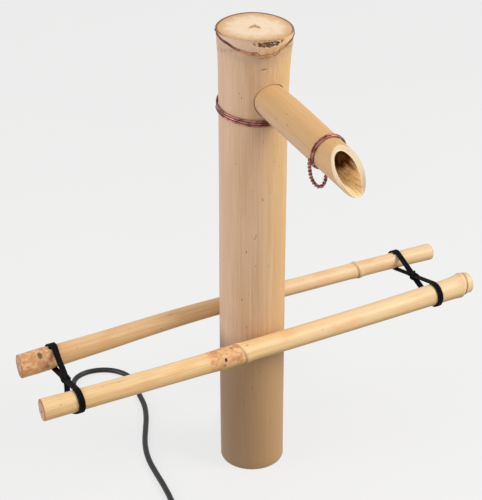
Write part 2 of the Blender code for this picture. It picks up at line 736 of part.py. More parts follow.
def arm_offset(radius):
    """Distance of an arm's axis from the culm's axis where it clamps the culm."""
    return CULM_RADIUS + CULM_SWELL + FIT_GAP + radius


def make_arm(name, radius, taper, nodes, shift, side, mat, parent, pith):
    local = [n - shift for n in nodes]
    arm = turned(name, cane_profile(radius, taper, local, pith), 20, mat)
    smooth(arm.data)
    arm.parent = parent
    arm.rotation_euler = (0.0, math.pi / 2, 0.0)
    arm.location = (shift, side * arm_offset(radius), 0.0)
    return arm


def lashing_points(station, slant):
    """A figure of eight round both arms, then turns round its own middle."""
    rear_x = station + slant / 2
    front_x = station - slant / 2
    rear_r = (cane_radius(REAR_ARM_RADIUS, -REAR_ARM_TAPER, REAR_ARM_SHIFT, rear_x)
              + TIE_SEAT + TIE_RADIUS + NODE_SWELL * tie_lift(rear_x, REAR_NODES))
    front_r = (cane_radius(FRONT_ARM_RADIUS, FRONT_ARM_TAPER, FRONT_ARM_SHIFT, front_x)
               + TIE_SEAT + TIE_RADIUS + NODE_SWELL * tie_lift(front_x, FRONT_NODES))
    rear_y = arm_offset(REAR_ARM_RADIUS)
    front_y = -arm_offset(FRONT_ARM_RADIUS)
    span = rear_y - front_y
    lean = math.asin((rear_r + front_r) / span)
    middle = front_y + span * front_r / (rear_r + front_r)
    flat = []
    # Each lap: over the rear arm, down its back, across, over the front arm, back.
    laps = TIE_TURNS
    arc = [math.pi / 2 + lean, -math.pi / 2 - lean]
    steps = 9
    for lap in range(laps):
        for i in range(steps + 1):
            a = arc[0] + (arc[1] - arc[0]) * i / steps
            flat.append((rear_y + rear_r * math.cos(a), rear_r * math.sin(a),
                         1, (lap + 0.08 + 0.34 * i / steps)))
        flat.append((middle, 0.0, 0, lap + 0.5))
        for i in range(steps + 1):
            a = math.pi / 2 - lean + (math.pi + 2 * lean) * i / steps
            flat.append((front_y + front_r * math.cos(a), front_r * math.sin(a),
                         -1, (lap + 0.58 + 0.34 * i / steps)))
        flat.append((middle, 0.0, 0, lap + 1.0))
    points = []
    for y, z, side, turn in flat:
        share = (y - front_y) / span
        centre = front_x + (rear_x - front_x) * min(max(share, 0.0), 1.0)
        points.append((centre + TIE_PITCH * (turn - laps / 2), y, z))
    cross_x = front_x + (rear_x - front_x) * (middle - front_y) / span
    entry = Vector((cross_x - TIE_PITCH * laps / 2, middle, 0.0))
    fall = Vector((-slant / span, -1.0, -math.tan(lean)))
    start = entry + fall.normalized() * TIE_TAIL
    points = [tuple(start), tuple(entry)] + points[:-1]
    # The last strand comes back to the middle and winds round the crossing.
    thick = 2 * TIE_RADIUS
    clear = TIE_SEAT + FIT_GAP
    wide = TIE_PITCH * laps / 2 + thick + clear
    # The crossing strands open out either side of the middle.
    advance = thick + clear
    opening = math.tan(lean) * advance * (FRAPPING_TURNS + 0.5) / 1.4
    high = thick + clear + opening
    wraps = []
    count = int(round(16 * FRAPPING_TURNS))
    for i in range(count + 1):
        a = -TAU * i / 16
        corner = 0.55
        c, s = math.cos(a), math.sin(a)
        x = wide * math.copysign(abs(c) ** corner, c)
        z = high * math.copysign(abs(s) ** corner, s) * -1
        wraps.append((cross_x + x, middle + advance * (i / 16 - FRAPPING_TURNS / 2), z))
    last = Vector(wraps[-1])
    tail = [tuple(last + Vector((thick, thick / 2, high))),
            tuple(last + Vector((thick * 2, thick * 2, high + TIE_TAIL * 0.5)))]
    return points + wraps + tail


def tie_lift(x, nodes):
    """The largest share of a node's swelling under a lashing at x."""
    lift = 0.0
    reach = TIE_PITCH * (TIE_TURNS / 2 + 0.5)
    table = sorted(NODE_SHARES)
    for station in nodes:
        for k in range(9):
            s = (x - reach + reach * k / 4 - station) / NODE_LENGTH
            lift = max(lift, float(np.interp(s, [r[0] for r in table],
                                             [r[1] for r in table], 0.0, 0.0)))
    return lift


FRONT_NODES = (FRONT_NODE_STATION, FRONT_END_NODE_STATION)
REAR_NODES = (REAR_NODE_STATION, REAR_END_NODE_STATION)


def make_lashing(name, station, slant, mat, parent):
    points = lashing_points(station, slant)
    tie = tube_mesh(name, points, TIE_RADIUS, mat, 1)
    tie.parent = parent
    print(name, "least gap to itself (mm):",
          round(1000 * self_gap(points, TIE_RADIUS, TIE_PITCH * 2), 2))
    return tie


# Pump, with its rotor lying along Y.
def make_pump_housing():
    housing = box("pump_housing", (-PUMP_HALF_WIDTH, PUMP_FACE, 0.0),
                  (PUMP_HALF_WIDTH, PUMP_BACK, PUMP_HEIGHT), MAT_HOUSING, None,
                  PUMP_EDGE, 3)
    baked(housing)
    axis = ROTOR_HEIGHT
    cut = OVERRUN
    for name, radius, start, end in (
            ("chamber", CHAMBER_RADIUS, PUMP_FACE - cut, CHAMBER_FLOOR),
            ("rotor_well", WELL_RADIUS, CHAMBER_FLOOR - cut, WELL_END)):
        combine(housing, cylinder(name, radius, (0.0, start, axis), (0.0, end, axis),
                                  32, MAT_HOUSING, CUTTERS))
    combine(housing, cylinder("outlet", OUTLET_BORE, (0.0, 0.0, axis + CHAMBER_RADIUS / 2),
                              (0.0, 0.0, PUMP_HEIGHT + cut), 20, MAT_HOUSING, CUTTERS))
    combine(housing, cylinder("nozzle_seat", NOZZLE_FLANGE_RADIUS + FIT_GAP,
                              (0.0, 0.0, PUMP_HEIGHT - NOZZLE_FLANGE - FIT_GAP),
                              (0.0, 0.0, PUMP_HEIGHT + cut), 28, MAT_HOUSING, CUTTERS))
    smooth(housing.data)
    return housing


def make_nozzle():
    top = PUMP_HEIGHT + NOZZLE_RISE
    seat = PUMP_HEIGHT - NOZZLE_FLANGE
    profile = [
        (OUTLET_BORE, top),
        (NOZZLE_STEM_RADIUS, top),
        (NOZZLE_BARB_RADIUS, top - NOZZLE_BARB_LENGTH),
        (NOZZLE_STEM_RADIUS, top - NOZZLE_BARB_LENGTH * 1.2),
        (NOZZLE_STEM_RADIUS, top - NOZZLE_BARB_LENGTH * 2.4),
        (NOZZLE_BARB_RADIUS, top - NOZZLE_BARB_LENGTH * 3.2),
        (NOZZLE_STEM_RADIUS, top - NOZZLE_BARB_LENGTH * 3.4),
        (NOZZLE_STEM_RADIUS, PUMP_HEIGHT),
        (NOZZLE_FLANGE_RADIUS, PUMP_HEIGHT),
        (NOZZLE_FLANGE_RADIUS, seat),
        (OUTLET_BORE, seat),
    ]
    nozzle = turned("outlet_nozzle", profile, 20, MAT_NOZZLE)
    smooth(nozzle.data)
    return nozzle


def cover_front():
    return PUMP_FACE - FIT_GAP - COVER_DEPTH


def make_front_cover():
    front = cover_front()
    cover = box("front_cover", (-PUMP_HALF_WIDTH, front, 0.0),
                (PUMP_HALF_WIDTH, PUMP_FACE - FIT_GAP, PUMP_HEIGHT), MAT_COVER, None,
                PUMP_EDGE, 3)
    baked(cover)
    inside = PUMP_HALF_WIDTH - COVER_WALL
    combine(cover, box("cover_room", (-inside, front + COVER_WALL, COVER_WALL),
                       (inside, PUMP_FACE + OVERRUN, PUMP_HEIGHT - COVER_WALL),
                       MAT_COVER, CUTTERS))
    for level in (SLIDE_LEVEL + SLIDE_HEIGHT / 2 + FIT_GAP + RAIL_HEIGHT / 2,
                  SLIDE_LEVEL - SLIDE_HEIGHT / 2 - FIT_GAP - RAIL_HEIGHT / 2):
        half = PUMP_HALF_WIDTH - PUMP_EDGE
        rail = box("slide_rail", (-half, front - FIT_GAP - RAIL_DEPTH, level - RAIL_HEIGHT / 2),
                   (half, front + COVER_WALL / 2, level + RAIL_HEIGHT / 2),
                   MAT_COVER, CUTTERS)
        combine(cover, rail, "UNION")
    for i in range(GRILLE_SLOTS):
        x = GRILLE_PITCH * (i - (GRILLE_SLOTS - 1) / 2)
        slot = box("grille_slot",
                   (x - GRILLE_SLOT_WIDTH / 2, front - OVERRUN,
                    GRILLE_HEIGHT - GRILLE_SLOT_LENGTH / 2),
                   (x + GRILLE_SLOT_WIDTH / 2, front + COVER_WALL + OVERRUN,
                    GRILLE_HEIGHT + GRILLE_SLOT_LENGTH / 2), MAT_COVER, CUTTERS)
        combine(cover, slot)
    window = box("flow_window",
                 (WINDOW_SHIFT - WINDOW_WIDTH / 2, front - OVERRUN,
                  SLIDE_LEVEL - WINDOW_HEIGHT / 2),
                 (WINDOW_SHIFT + WINDOW_WIDTH / 2, front + COVER_WALL + OVERRUN,
                  SLIDE_LEVEL + WINDOW_HEIGHT / 2), MAT_COVER, CUTTERS)
    combine(cover, window)
    smooth(cover.data)
    return cover


def make_flow_slide():
    face = cover_front() - FIT_GAP
    low = SLIDE_LEVEL - SLIDE_HEIGHT / 2
    high = SLIDE_LEVEL + SLIDE_HEIGHT / 2
    slide = box("flow_slide", (-SLIDE_WIDTH / 2, face - SLIDE_THICKNESS, low),
                (SLIDE_WIDTH / 2, face, high), MAT_SLIDE)
    baked(slide)
    tab = box("slide_tab", (-SLIDE_TAB_WIDTH / 2, face - SLIDE_THICKNESS - SLIDE_TAB, low),
              (SLIDE_TAB_WIDTH / 2, face - SLIDE_THICKNESS / 2, high), MAT_SLIDE, CUTTERS)
    combine(slide, tab, "UNION")
    slide.location.x += SLIDE_SHIFT
    smooth(slide.data)
    return slide


def along_y(obj, y):
    """Lay a piece turned about Z along Y, on the rotor's axis."""
    obj.rotation_euler = (-math.pi / 2, 0.0, 0.0)
    obj.location = (0.0, y, ROTOR_HEIGHT)
    return obj


def make_impeller_cover():
    thick = IMPELLER_COVER_THICKNESS
    hole = BUSH_OUTER + FIT_GAP
    profile = [(hole, thick), (IMPELLER_COVER_RADIUS, thick), (IMPELLER_COVER_RADIUS, 0.0),
               (hole, 0.0)]
    plate = turned("impeller_cover", profile, 36, MAT_IMPELLER_COVER)
    ring = [(INTAKE_INNER, thick + OVERRUN), (INTAKE_OUTER, thick + OVERRUN),
            (INTAKE_OUTER, -OVERRUN), (INTAKE_INNER, -OVERRUN)]
    window = turned("intake_ring", ring, 36, MAT_IMPELLER_COVER, CUTTERS)
    for k in range(3):
        bar = box("intake_spoke", (0.0, -INTAKE_SPOKE / 2, -OVERRUN * 2),
                  (INTAKE_OUTER + OVERRUN, INTAKE_SPOKE / 2, thick + OVERRUN * 2),
                  MAT_IMPELLER_COVER, CUTTERS)
        a = math.pi / 2 + TAU * k / 3
        reach = (INTAKE_OUTER + OVERRUN) / 2
        bar.rotation_euler = (0.0, 0.0, a)
        bar.location = (reach * math.cos(a), reach * math.sin(a), thick / 2)
        combine(window, bar)
    combine(plate, window)
    smooth(plate.data)
    return along_y(plate, PUMP_FACE - FIT_GAP - thick)


def make_bush(name, outer, length, y, mat):
    bore = SHAFT_RADIUS + FIT_GAP
    profile = [(bore, length), (outer, length), (outer, 0.0), (bore, 0.0)]
    bush = turned(name, profile, 20, mat)
    smooth(bush.data)
    return along_y(bush, y)


def make_shaft():
    start = PUMP_FACE - FIT_GAP - IMPELLER_COVER_THICKNESS
    length = WELL_END - FIT_GAP - start
    shaft = turned("rotor_shaft", [(0.0, length), (SHAFT_RADIUS, length),
                                   (SHAFT_RADIUS, 0.0), (0.0, 0.0)], 16, MAT_SHAFT)
    smooth(shaft.data)
    return along_y(shaft, start)


def rear_bush_start():
    return WELL_END - FIT_GAP - REAR_BUSH_LENGTH


def make_impeller():
    """Magnet rotor, neck and bladed disc in one moulding, on the fixed shaft."""
    bore = SHAFT_RADIUS + FIT_GAP
    disc_face = CHAMBER_FLOOR - FIT_GAP * 2 - DISC_THICKNESS
    front = disc_face - BLADE_DEPTH
    rotor_end = rear_bush_start() - FIT_GAP
    length = rotor_end - front
    profile = [
        (bore, length),
        (ROTOR_RADIUS, length),
        (ROTOR_RADIUS, ROTOR_START - front),
        (HUB_RADIUS, ROTOR_START - front),
        (HUB_RADIUS, disc_face + DISC_THICKNESS - front),
        (DISC_RADIUS, disc_face + DISC_THICKNESS - front),
        (DISC_RADIUS, disc_face - front),
        (HUB_RADIUS, disc_face - front),
        (HUB_RADIUS, 0.0),
        (bore, 0.0),
    ]
    impeller = turned("impeller", profile, 30, MAT_IMPELLER)
    inner = (HUB_RADIUS + bore) / 2
    for k in range(BLADES):
        a = TAU * (k + 0.5) / BLADES
        blade = box("impeller_blade", (inner, -BLADE_THICKNESS / 2, 0.0),
                    (DISC_RADIUS - FIT_GAP, BLADE_THICKNESS / 2, BLADE_DEPTH + DISC_THICKNESS / 2),
                    MAT_IMPELLER, CUTTERS)
        reach = (inner + DISC_RADIUS - FIT_GAP) / 2
        blade.rotation_euler = (0.0, 0.0, a)
        blade.location = (reach * math.cos(a), reach * math.sin(a),
                          (BLADE_DEPTH + DISC_THICKNESS / 2) / 2)
        combine(impeller, blade, "UNION")
    smooth(impeller.data)
    return along_y(impeller, front)


def make_gland():
    """A tapered strain relief with rings, moulded round the lead."""
    length = GLAND_LENGTH
    profile = [(0.0, length), (GLAND_TIP_RADIUS, length)]
    ribs = GLAND_RIBS
    step = length * 0.62 / ribs
    groove = (GLAND_TIP_RADIUS - CORD_RADIUS) * 0.9
    for i in range(ribs):
        z = length - step * (i + 0.5)
        share = 1 - z / length
        r = GLAND_TIP_RADIUS + (GLAND_RADIUS - GLAND_TIP_RADIUS) * share * 0.6
        profile += [(r, z + step * 0.2), (r - groove, z + step * 0.14),
                    (r - groove, z - step * 0.14), (r, z - step * 0.2)]
    profile += [(GLAND_RADIUS, length * 0.30), (GLAND_RADIUS, 0.0), (0.0, 0.0)]
    gland = turned("cord_gland", profile, 16, MAT_GLAND)
    smooth(gland.data)
    gland.rotation_euler = (-math.pi / 2, 0.0, 0.0)
    gland.location = (0.0, PUMP_BACK + FIT_GAP, GLAND_HEIGHT)
    return gland


# Route of the lead on the ground: back behind the culm, across to the left, a
# turn, then forward under the arms to the coil. It crosses itself in a low hump.
LEAD_ROUTE = (
    (0.0000, 0.0500, 0.0088), (0.0030, 0.0610, 0.0070), (0.0105, 0.0725, 0.0048),
    (0.0210, 0.0840, 0.0033), (0.0330, 0.0960, 0.0030), (0.0450, 0.1095, 0.0030),
    (0.0545, 0.1250, 0.0030), (0.0600, 0.1440, 0.0030), (0.0560, 0.1600, 0.0030),
    (0.0430, 0.1695, 0.0030), (0.0250, 0.1715, 0.0031), (0.0050, 0.1713, 0.0036),
    (-0.0150, 0.1711, 0.0055), (-0.0350, 0.1711, 0.0083), (-0.0530, 0.1710, 0.0096),
    (-0.0710, 0.1705, 0.0080), (-0.0880, 0.1697, 0.0040), (-0.1030, 0.1725, 0.0030),
    (-0.1130, 0.1830, 0.0030), (-0.1140, 0.1970, 0.0030), (-0.1060, 0.2100, 0.0030),
    (-0.0920, 0.2155, 0.0030), (-0.0760, 0.2130, 0.0030), (-0.0620, 0.2035, 0.0030),
    (-0.0535, 0.1880, 0.0030), (-0.0535, 0.1690, 0.0030), (-0.0580, 0.1480, 0.0030),
    (-0.0625, 0.1250, 0.0030), (-0.0705, 0.1040, 0.0030), (-0.0805, 0.0845, 0.0030),
    (-0.0900, 0.0660, 0.0030), (-0.0970, 0.0480, 0.0030), (-0.1015, 0.0300, 0.0030),
    (-0.1040, 0.0110, 0.0030), (-0.1060, -0.0080, 0.0030), (-0.1085, -0.0260, 0.0030),
    (-0.1110, -0.0430, 0.0031),
)


def coil_points():
    """Turns that spiral in, climb a layer, and spiral out again to the plug."""
    points = []
    inner = COIL_RADIUS - COIL_PITCH * COIL_LOWER_TURNS / 2
    base = STRAP_THICKNESS + FIT_GAP * 2 + CORD_RADIUS
    inward = int(round(COIL_LOWER_TURNS * 24))
    outward = int(round(COIL_UPPER_TURNS * 24))
    climb = 12
    for i in range(inward + 1):
        a = COIL_START - TAU * i / 24
        r = inner + COIL_PITCH * (COIL_LOWER_TURNS - i / 24)
        points.append((r, a, base))
    for i in range(1, climb + 1):
        a = points[-1][1] - TAU / 24
        lift = (1 - math.cos(math.pi * i / climb)) / 2
        r = inner - COIL_PITCH * COIL_TUCK_SHARE * math.sin(math.pi * i / climb)
        points.append((r, a, base + COIL_PITCH * lift))
    for i in range(1, outward + 1):
        a = points[-1][1] - TAU / 24
        points.append((inner + COIL_PITCH * i / 24, a, base + COIL_PITCH))
    out = [Vector((COIL_X + r * math.cos(a), COIL_Y + r * math.sin(a), z))
           for r, a, z in points]
    first = (out[0] - out[1]).normalized()
    last = (out[-1] - out[-2]).normalized()
    last.z = 0.0
    out.insert(0, out[0] + first * 2 * CORD_RADIUS)
    out.append(out[-1] + last * 2 * CORD_RADIUS)
    return out


def make_lead():
    coil = coil_points()
    into = (coil[1] - coil[0]).normalized()
    join = coil[0] - into * FIT_GAP
    start = Vector((0.0, PUMP_BACK + FIT_GAP * 2 + GLAND_LENGTH, GLAND_HEIGHT))
    begin = start + Vector((0.0, CORD_RADIUS * 1.5, 0.0))
    approach = [join - into * CORD_RADIUS * 7, join - into * CORD_RADIUS * 3]
    route = [tuple(begin)] + list(LEAD_ROUTE) + [tuple(p) for p in approach]
    line = spread(route, CORD_RADIUS * 5)
    line[:, 2] = np.maximum(line[:, 2], CORD_FLOOR)
    line = np.vstack([tuple(start), line, tuple(join)])
    stretch = tube_curve("pump_cord", [tuple(p) for p in line], CORD_RADIUS, MAT_CORD, 2)
    wound = tube_curve("cord_coil", [tuple(p) for p in coil], CORD_RADIUS, MAT_COIL, 1)
    print("cord_coil least gap to itself (mm):",
          round(1000 * self_gap(coil, CORD_RADIUS, COIL_RADIUS * 2), 2))
    print("lead length (m): stretch", round(path_length(line), 4), "coil",
          round(path_length(coil), 4), "total",
          round(path_length(line) + path_length(coil), 4), "of", CORD_TOTAL)
    return stretch, wound


def make_strap():
    """A thin strap closed round both layers of the coil."""
    turns = COIL_LOWER_TURNS
    core = COIL_RADIUS - COIL_PITCH * (turns / 2 + COIL_TUCK_SHARE) - CORD_RADIUS
    inner = math.sqrt(core**2 - (STRAP_WIDTH / 2)**2) - FIT_GAP
    outer = COIL_RADIUS + COIL_PITCH * turns / 2 + CORD_RADIUS + FIT_GAP
    low = STRAP_THICKNESS
    high = STRAP_THICKNESS + FIT_GAP * 4 + COIL_PITCH + 2 * CORD_RADIUS
    t = STRAP_THICKNESS
    strap = box("coil_tie", (inner - t, -STRAP_WIDTH / 2, 0.0),
                (outer + t, STRAP_WIDTH / 2, high + t), MAT_STRAP, None, t, 2)
    baked(strap)
    room = box("strap_room", (inner, -STRAP_WIDTH, low), (outer, STRAP_WIDTH, high),
               MAT_STRAP, CUTTERS)
    middle = Vector(((inner + outer) / 2, 0.0, (high + t) / 2))
    room.location = Vector(((inner + outer) / 2, 0.0, (low + high) / 2))
    combine(strap, room)
    strap.rotation_euler = (0.0, 0.0, STRAP_ANGLE)
    c, s = math.cos(STRAP_ANGLE), math.sin(STRAP_ANGLE)
    strap.location = (COIL_X + middle.x * c, COIL_Y + middle.x * s, middle.z)
    return strap


def make_plug():
    """A moulded two-blade plug on the floor, at the coil's loose end."""
    coil = coil_points()
    end = coil[-1]
    way = (coil[-1] - coil[-2]).normalized()
    way.z = 0.0
    way.normalize()
    axis = end.z
    turn = math.atan2(way.y, way.x) - math.pi / 2
    neck = turned("plug_body", [
        (0.0, PLUG_EDGE),
        (PLUG_NECK_RADIUS, PLUG_EDGE),
        (PLUG_NECK_RADIUS, -PLUG_NECK_LENGTH * 0.35),
        (PLUG_NECK_TIP_RADIUS, -PLUG_NECK_LENGTH),
        (0.0, -PLUG_NECK_LENGTH)], 16, MAT_PLUG)
    neck.rotation_euler = (-math.pi / 2, 0.0, 0.0)
    bpy.context.view_layer.update()
    neck.data.transform(neck.matrix_world)
    neck.rotation_euler = (0.0, 0.0, 0.0)
    body = box("plug_block", (-PLUG_WIDTH / 2, 0.0, -axis + FIT_GAP / 3),
               (PLUG_WIDTH / 2, PLUG_LENGTH, axis), MAT_PLUG, CUTTERS, PLUG_EDGE, 3)
    combine(neck, body, "UNION")
    for side in (-1, 1):
        x = side * PLUG_WIDTH / 2
        for k in range(3):
            y = PLUG_LENGTH * (0.30 + 0.16 * k)
            grip = box("plug_grip", (x - PLUG_GRIP_DEPTH, y - PLUG_GRIP_DEPTH, -axis * 0.6),
                       (x + PLUG_GRIP_DEPTH, y + PLUG_GRIP_DEPTH, axis * 0.6),
                       MAT_PLUG, CUTTERS)
            combine(neck, grip)
    pins = []
    for side, name, mat in ((-1, "plug_blade_left", MAT_PIN_LEFT),
                            (1, "plug_blade_right", MAT_PIN_RIGHT)):
        x = side * BLADE_PIN_SPACING / 2
        half_t = BLADE_PIN_THICKNESS / 2
        half_h = BLADE_PIN_HEIGHT / 2
        slot = box("pin_slot", (x - half_t - FIT_GAP, PLUG_LENGTH - BLADE_PIN_SEAT - FIT_GAP,
                                -half_h - FIT_GAP),
                   (x + half_t + FIT_GAP, PLUG_LENGTH + OVERRUN, half_h + FIT_GAP),
                   MAT_PLUG, CUTTERS)
        combine(neck, slot)
        pin = box(name, (x - half_t, PLUG_LENGTH - BLADE_PIN_SEAT, -half_h),
                  (x + half_t, PLUG_LENGTH + BLADE_PIN_LENGTH, half_h), mat, None,
                  half_t / 2, 1)
        baked(pin)
        tip = PLUG_LENGTH + BLADE_PIN_LENGTH - BLADE_PIN_HOLE_SETBACK
        combine(pin, cylinder("pin_hole", BLADE_PIN_HOLE, (x - OVERRUN, tip, 0.0),
                              (x + OVERRUN, tip, 0.0), 16, mat, CUTTERS))
        pins.append(pin)
    smooth(neck.data)
    base = end + way * (FIT_GAP + PLUG_NECK_LENGTH)
    mount = bpy.data.objects.new("plug_place", None)
    MODEL.objects.link(mount)
    mount.location = (base.x, base.y, axis)
    mount.rotation_euler = (0.0, 0.0, turn)
    for obj in [neck] + pins:
        obj.parent = mount
    return neck, pins


def main():
    make_culm()
    make_spout()
    make_culm_wire()
    make_spout_wire()
    make_wire_loop()
    make_riser()
    slide = bpy.data.objects.new("arms_slide", None)
    slide.location = (0.0, 0.0, ARM_HEIGHT)
    MODEL.objects.link(slide)
    make_arm("front_arm", FRONT_ARM_RADIUS, FRONT_ARM_TAPER, FRONT_NODES,
             FRONT_ARM_SHIFT, -1, MAT_ARM_FRONT, slide, True)
    make_arm("rear_arm", REAR_ARM_RADIUS, -REAR_ARM_TAPER, REAR_NODES,
             REAR_ARM_SHIFT, 1, MAT_ARM_REAR, slide, False)
    make_lashing("left_tie", -TIE_STATION, TIE_SLANT, MAT_TIE, slide)
    make_lashing("right_tie", TIE_STATION - TIE_RIGHT_INSET, TIE_SLANT, MAT_TIE_RIGHT, slide)
    make_pump_housing()
    make_nozzle()
    make_front_cover()
    make_flow_slide()
    make_impeller_cover()
    make_bush("front_bush", BUSH_OUTER, IMPELLER_COVER_THICKNESS,
              PUMP_FACE - FIT_GAP - IMPELLER_COVER_THICKNESS, MAT_BUSH)
    make_bush("rear_bush", REAR_BUSH_OUTER, REAR_BUSH_LENGTH, rear_bush_start(),
              MAT_BUSH_REAR)
    make_shaft()
    make_impeller()
    make_gland()
    make_lead()
    make_strap()
    make_plug()
    bpy.context.view_layer.update()


main()
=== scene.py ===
# %% [markdown]
# # A bamboo water spout
#
# An upright culm hides a small pump, a thinner cane slopes down from its head
# as the outlet, and two lashed canes clamp the culm and carry it. The lesson
# dresses the plain solids of this object: natural surfaces that are never
# quite round, cut and torn edges, wire, waxed cord and moulded plastic.
#
# The solids could be drawn again from nothing, but then each place would have
# to be measured twice. Here they are loaded as a fixed frame, and every new
# surface is worked out in the same metres.

# %% Load the frame
import math

import bmesh
import bpy
import numpy as np
from mathutils import Matrix, Vector


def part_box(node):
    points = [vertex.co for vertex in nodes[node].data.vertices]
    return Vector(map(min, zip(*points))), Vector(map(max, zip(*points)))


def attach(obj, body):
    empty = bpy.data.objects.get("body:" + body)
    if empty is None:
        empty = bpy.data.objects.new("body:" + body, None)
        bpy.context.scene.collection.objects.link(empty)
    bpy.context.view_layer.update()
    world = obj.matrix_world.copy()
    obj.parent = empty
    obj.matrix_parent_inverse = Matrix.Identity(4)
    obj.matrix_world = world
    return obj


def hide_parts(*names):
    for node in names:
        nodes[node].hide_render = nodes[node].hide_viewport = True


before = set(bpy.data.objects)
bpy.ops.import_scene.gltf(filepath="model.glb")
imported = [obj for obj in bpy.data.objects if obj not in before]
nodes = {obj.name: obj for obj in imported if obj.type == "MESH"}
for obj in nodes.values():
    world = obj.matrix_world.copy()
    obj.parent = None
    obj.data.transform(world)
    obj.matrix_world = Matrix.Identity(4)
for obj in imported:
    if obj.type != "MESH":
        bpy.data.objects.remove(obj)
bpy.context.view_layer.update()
TAU = 2 * math.pi

# %% [markdown]
# ## The camera
#
# The piece is seen from above and from its left, through a long lens. A camera
# can be aimed with a Track To constraint at an empty, but the picture then
# hangs on a second object. A direction, a downward tilt and a small roll give
# the same view as three readable numbers.

# %% Place the camera
EYE = Vector((-0.5969, -1.0640, 0.8823))
HEADING = math.radians(28.80)
TILT = math.radians(27.98)
ROLL = math.radians(-0.21)
LENS = 104.43
SENSOR = 36.0
VIEW_DEPTH = 30.0


def camera_matrix(eye, heading, tilt, roll):
    """Columns are right, up and backwards, from compass heading, tilt and roll."""
    forward = Vector((math.sin(heading) * math.cos(tilt),
                      math.cos(heading) * math.cos(tilt), -math.sin(tilt)))
    level = Vector((math.cos(heading), -math.sin(heading), 0.0))
    above = level.cross(forward)
    right = level * math.cos(roll) + above * math.sin(roll)
    up = right.cross(forward)
    matrix = Matrix((right, up, -forward)).transposed().to_4x4()
    matrix.translation = eye
    return matrix


def place_camera():
    """The scene's camera, at the eye, with lens and sensor width in millimetres."""
    data = bpy.data.cameras.new("view_camera")
    data.lens = LENS
    data.sensor_width = SENSOR
    data.clip_end = VIEW_DEPTH
    camera = bpy.data.objects.new("view_camera", data)
    bpy.context.scene.collection.objects.link(camera)
    camera.matrix_world = camera_matrix(EYE, HEADING, TILT, ROLL)
    bpy.context.scene.camera = camera
    return camera


camera = place_camera()
print("camera looks along", [round(v, 3) for v in -camera.matrix_world.col[2].xyz])

# %% [markdown]
# ## Surfaces from arrays
#
# Canes, wires and cords are all a ring that travels: the ring's radius may
# change with the angle and the place, and the path may be straight or wound.
# Curve objects with a bevel do this too, but their ring is the same all along.
# A grid of points worked out with numpy can swell, groove and tear.

# %% Number the faces of a grid
def grid_faces(rows, columns, closed_rows=False):
    """Quads between neighbouring rows. The columns close into a ring."""
    last = rows if closed_rows else rows - 1
    i = np.arange(last)[:, None]
    j = np.arange(columns)[None, :]
    below = (i + 1) % rows
    beside = (j + 1) % columns
    corners = (i * columns + j, i * columns + beside,
               below * columns + beside, below * columns + j)
    return np.stack([np.broadcast_to(c, (last, columns)) for c in corners],
                    axis=-1).reshape(-1, 4)


def fan(ring, centre, flip):
    """Triangles from a ring of vertex numbers to one centre vertex."""
    beside = np.roll(ring, -1)
    middle = np.full_like(ring, centre)
    order = (beside, ring, middle) if flip else (ring, beside, middle)
    return np.stack(order, axis=-1)


def volume(points, triangles):
    """Sixth of the sum of corner products: positive when the faces point outwards."""
    a, b, c = (points[triangles[:, k]] for k in range(3))
    return float((a * np.cross(b, c)).sum() / 6)


print("faces on a ring of 3 by 8 points:", len(grid_faces(3, 8)))


# %% Turn a grid of points into a mesh
def surface(name, grid, closed_rows=False):
    """A smooth closed mesh from an array of rows x columns x 3 points.

    A fan to the mean of its ring closes each end. The texture map runs along
    the rows in metres and once round the ring.
    """
    rows, columns = grid.shape[:2]
    points = grid.reshape(-1, 3)
    quads = grid_faces(rows, columns, closed_rows)
    fans = np.zeros((0, 3), int)
    if not closed_rows:
        ring = np.arange(columns)
        points = np.vstack([points, grid[0].mean(axis=0), grid[-1].mean(axis=0)])
        fans = np.vstack([fan(ring, rows * columns, True),
                          fan(ring + (rows - 1) * columns, rows * columns + 1, False)])
    halves = np.vstack([quads[:, :3], quads[:, (0, 2, 3)], fans])
    if volume(points, halves) < 0:
        quads = quads[:, ::-1]
        fans = fans[:, ::-1]
    mesh = bpy.data.meshes.new(name)
    loops = np.concatenate([quads.ravel(), fans.ravel()])
    sizes = np.concatenate([np.full(len(quads), 4), np.full(len(fans), 3)])
    starts = np.concatenate([[0], np.cumsum(sizes)[:-1]])
    mesh.vertices.add(len(points))
    mesh.vertices.foreach_set("co", points.astype(np.float32).ravel())
    mesh.loops.add(len(loops))
    mesh.loops.foreach_set("vertex_index", loops.astype(np.int32))
    mesh.polygons.add(len(sizes))
    mesh.polygons.foreach_set("loop_start", starts.astype(np.int32))
    mesh.update(calc_edges=True)
    mesh.shade_smooth()
    steps = np.linalg.norm(np.diff(grid.mean(axis=1), axis=0), axis=1)
    run = np.concatenate([[0.0], np.cumsum(steps)])
    along = np.concatenate([np.repeat(run, columns), run[[0, -1]]])
    around = np.concatenate([np.tile(np.arange(columns) / columns, rows), [0.0, 0.0]])
    layer = mesh.uv_layers.new(name="along")
    flat = np.stack([along[loops], around[loops]], axis=1)
    layer.data.foreach_set("uv", flat.astype(np.float32).ravel())
    obj = bpy.data.objects.new(name, mesh)
    bpy.context.scene.collection.objects.link(obj)
    return obj


def sharpen(obj, degrees):
    """Keep edges sharper than this as creases in the shading."""
    obj.data.set_sharp_from_angle(angle=math.radians(degrees))
    return obj


print("surface helper ready")


# %% Carry a ring along a path
def path_frames(points):
    """Unit directions along a path, and two directions across it that don't twist."""
    p = np.asarray(points, float)
    along = np.gradient(p, axis=0)
    along /= np.linalg.norm(along, axis=1)[:, None]
    side = np.zeros_like(p)
    seed = np.array([0.0, 0.0, 1.0]) if abs(along[0, 2]) < 0.9 else np.array([1.0, 0.0, 0.0])
    for i, direction in enumerate(along):
        seed = seed - direction * (seed @ direction)
        seed = seed / np.linalg.norm(seed)
        side[i] = seed
    return along, side, np.cross(along, side)


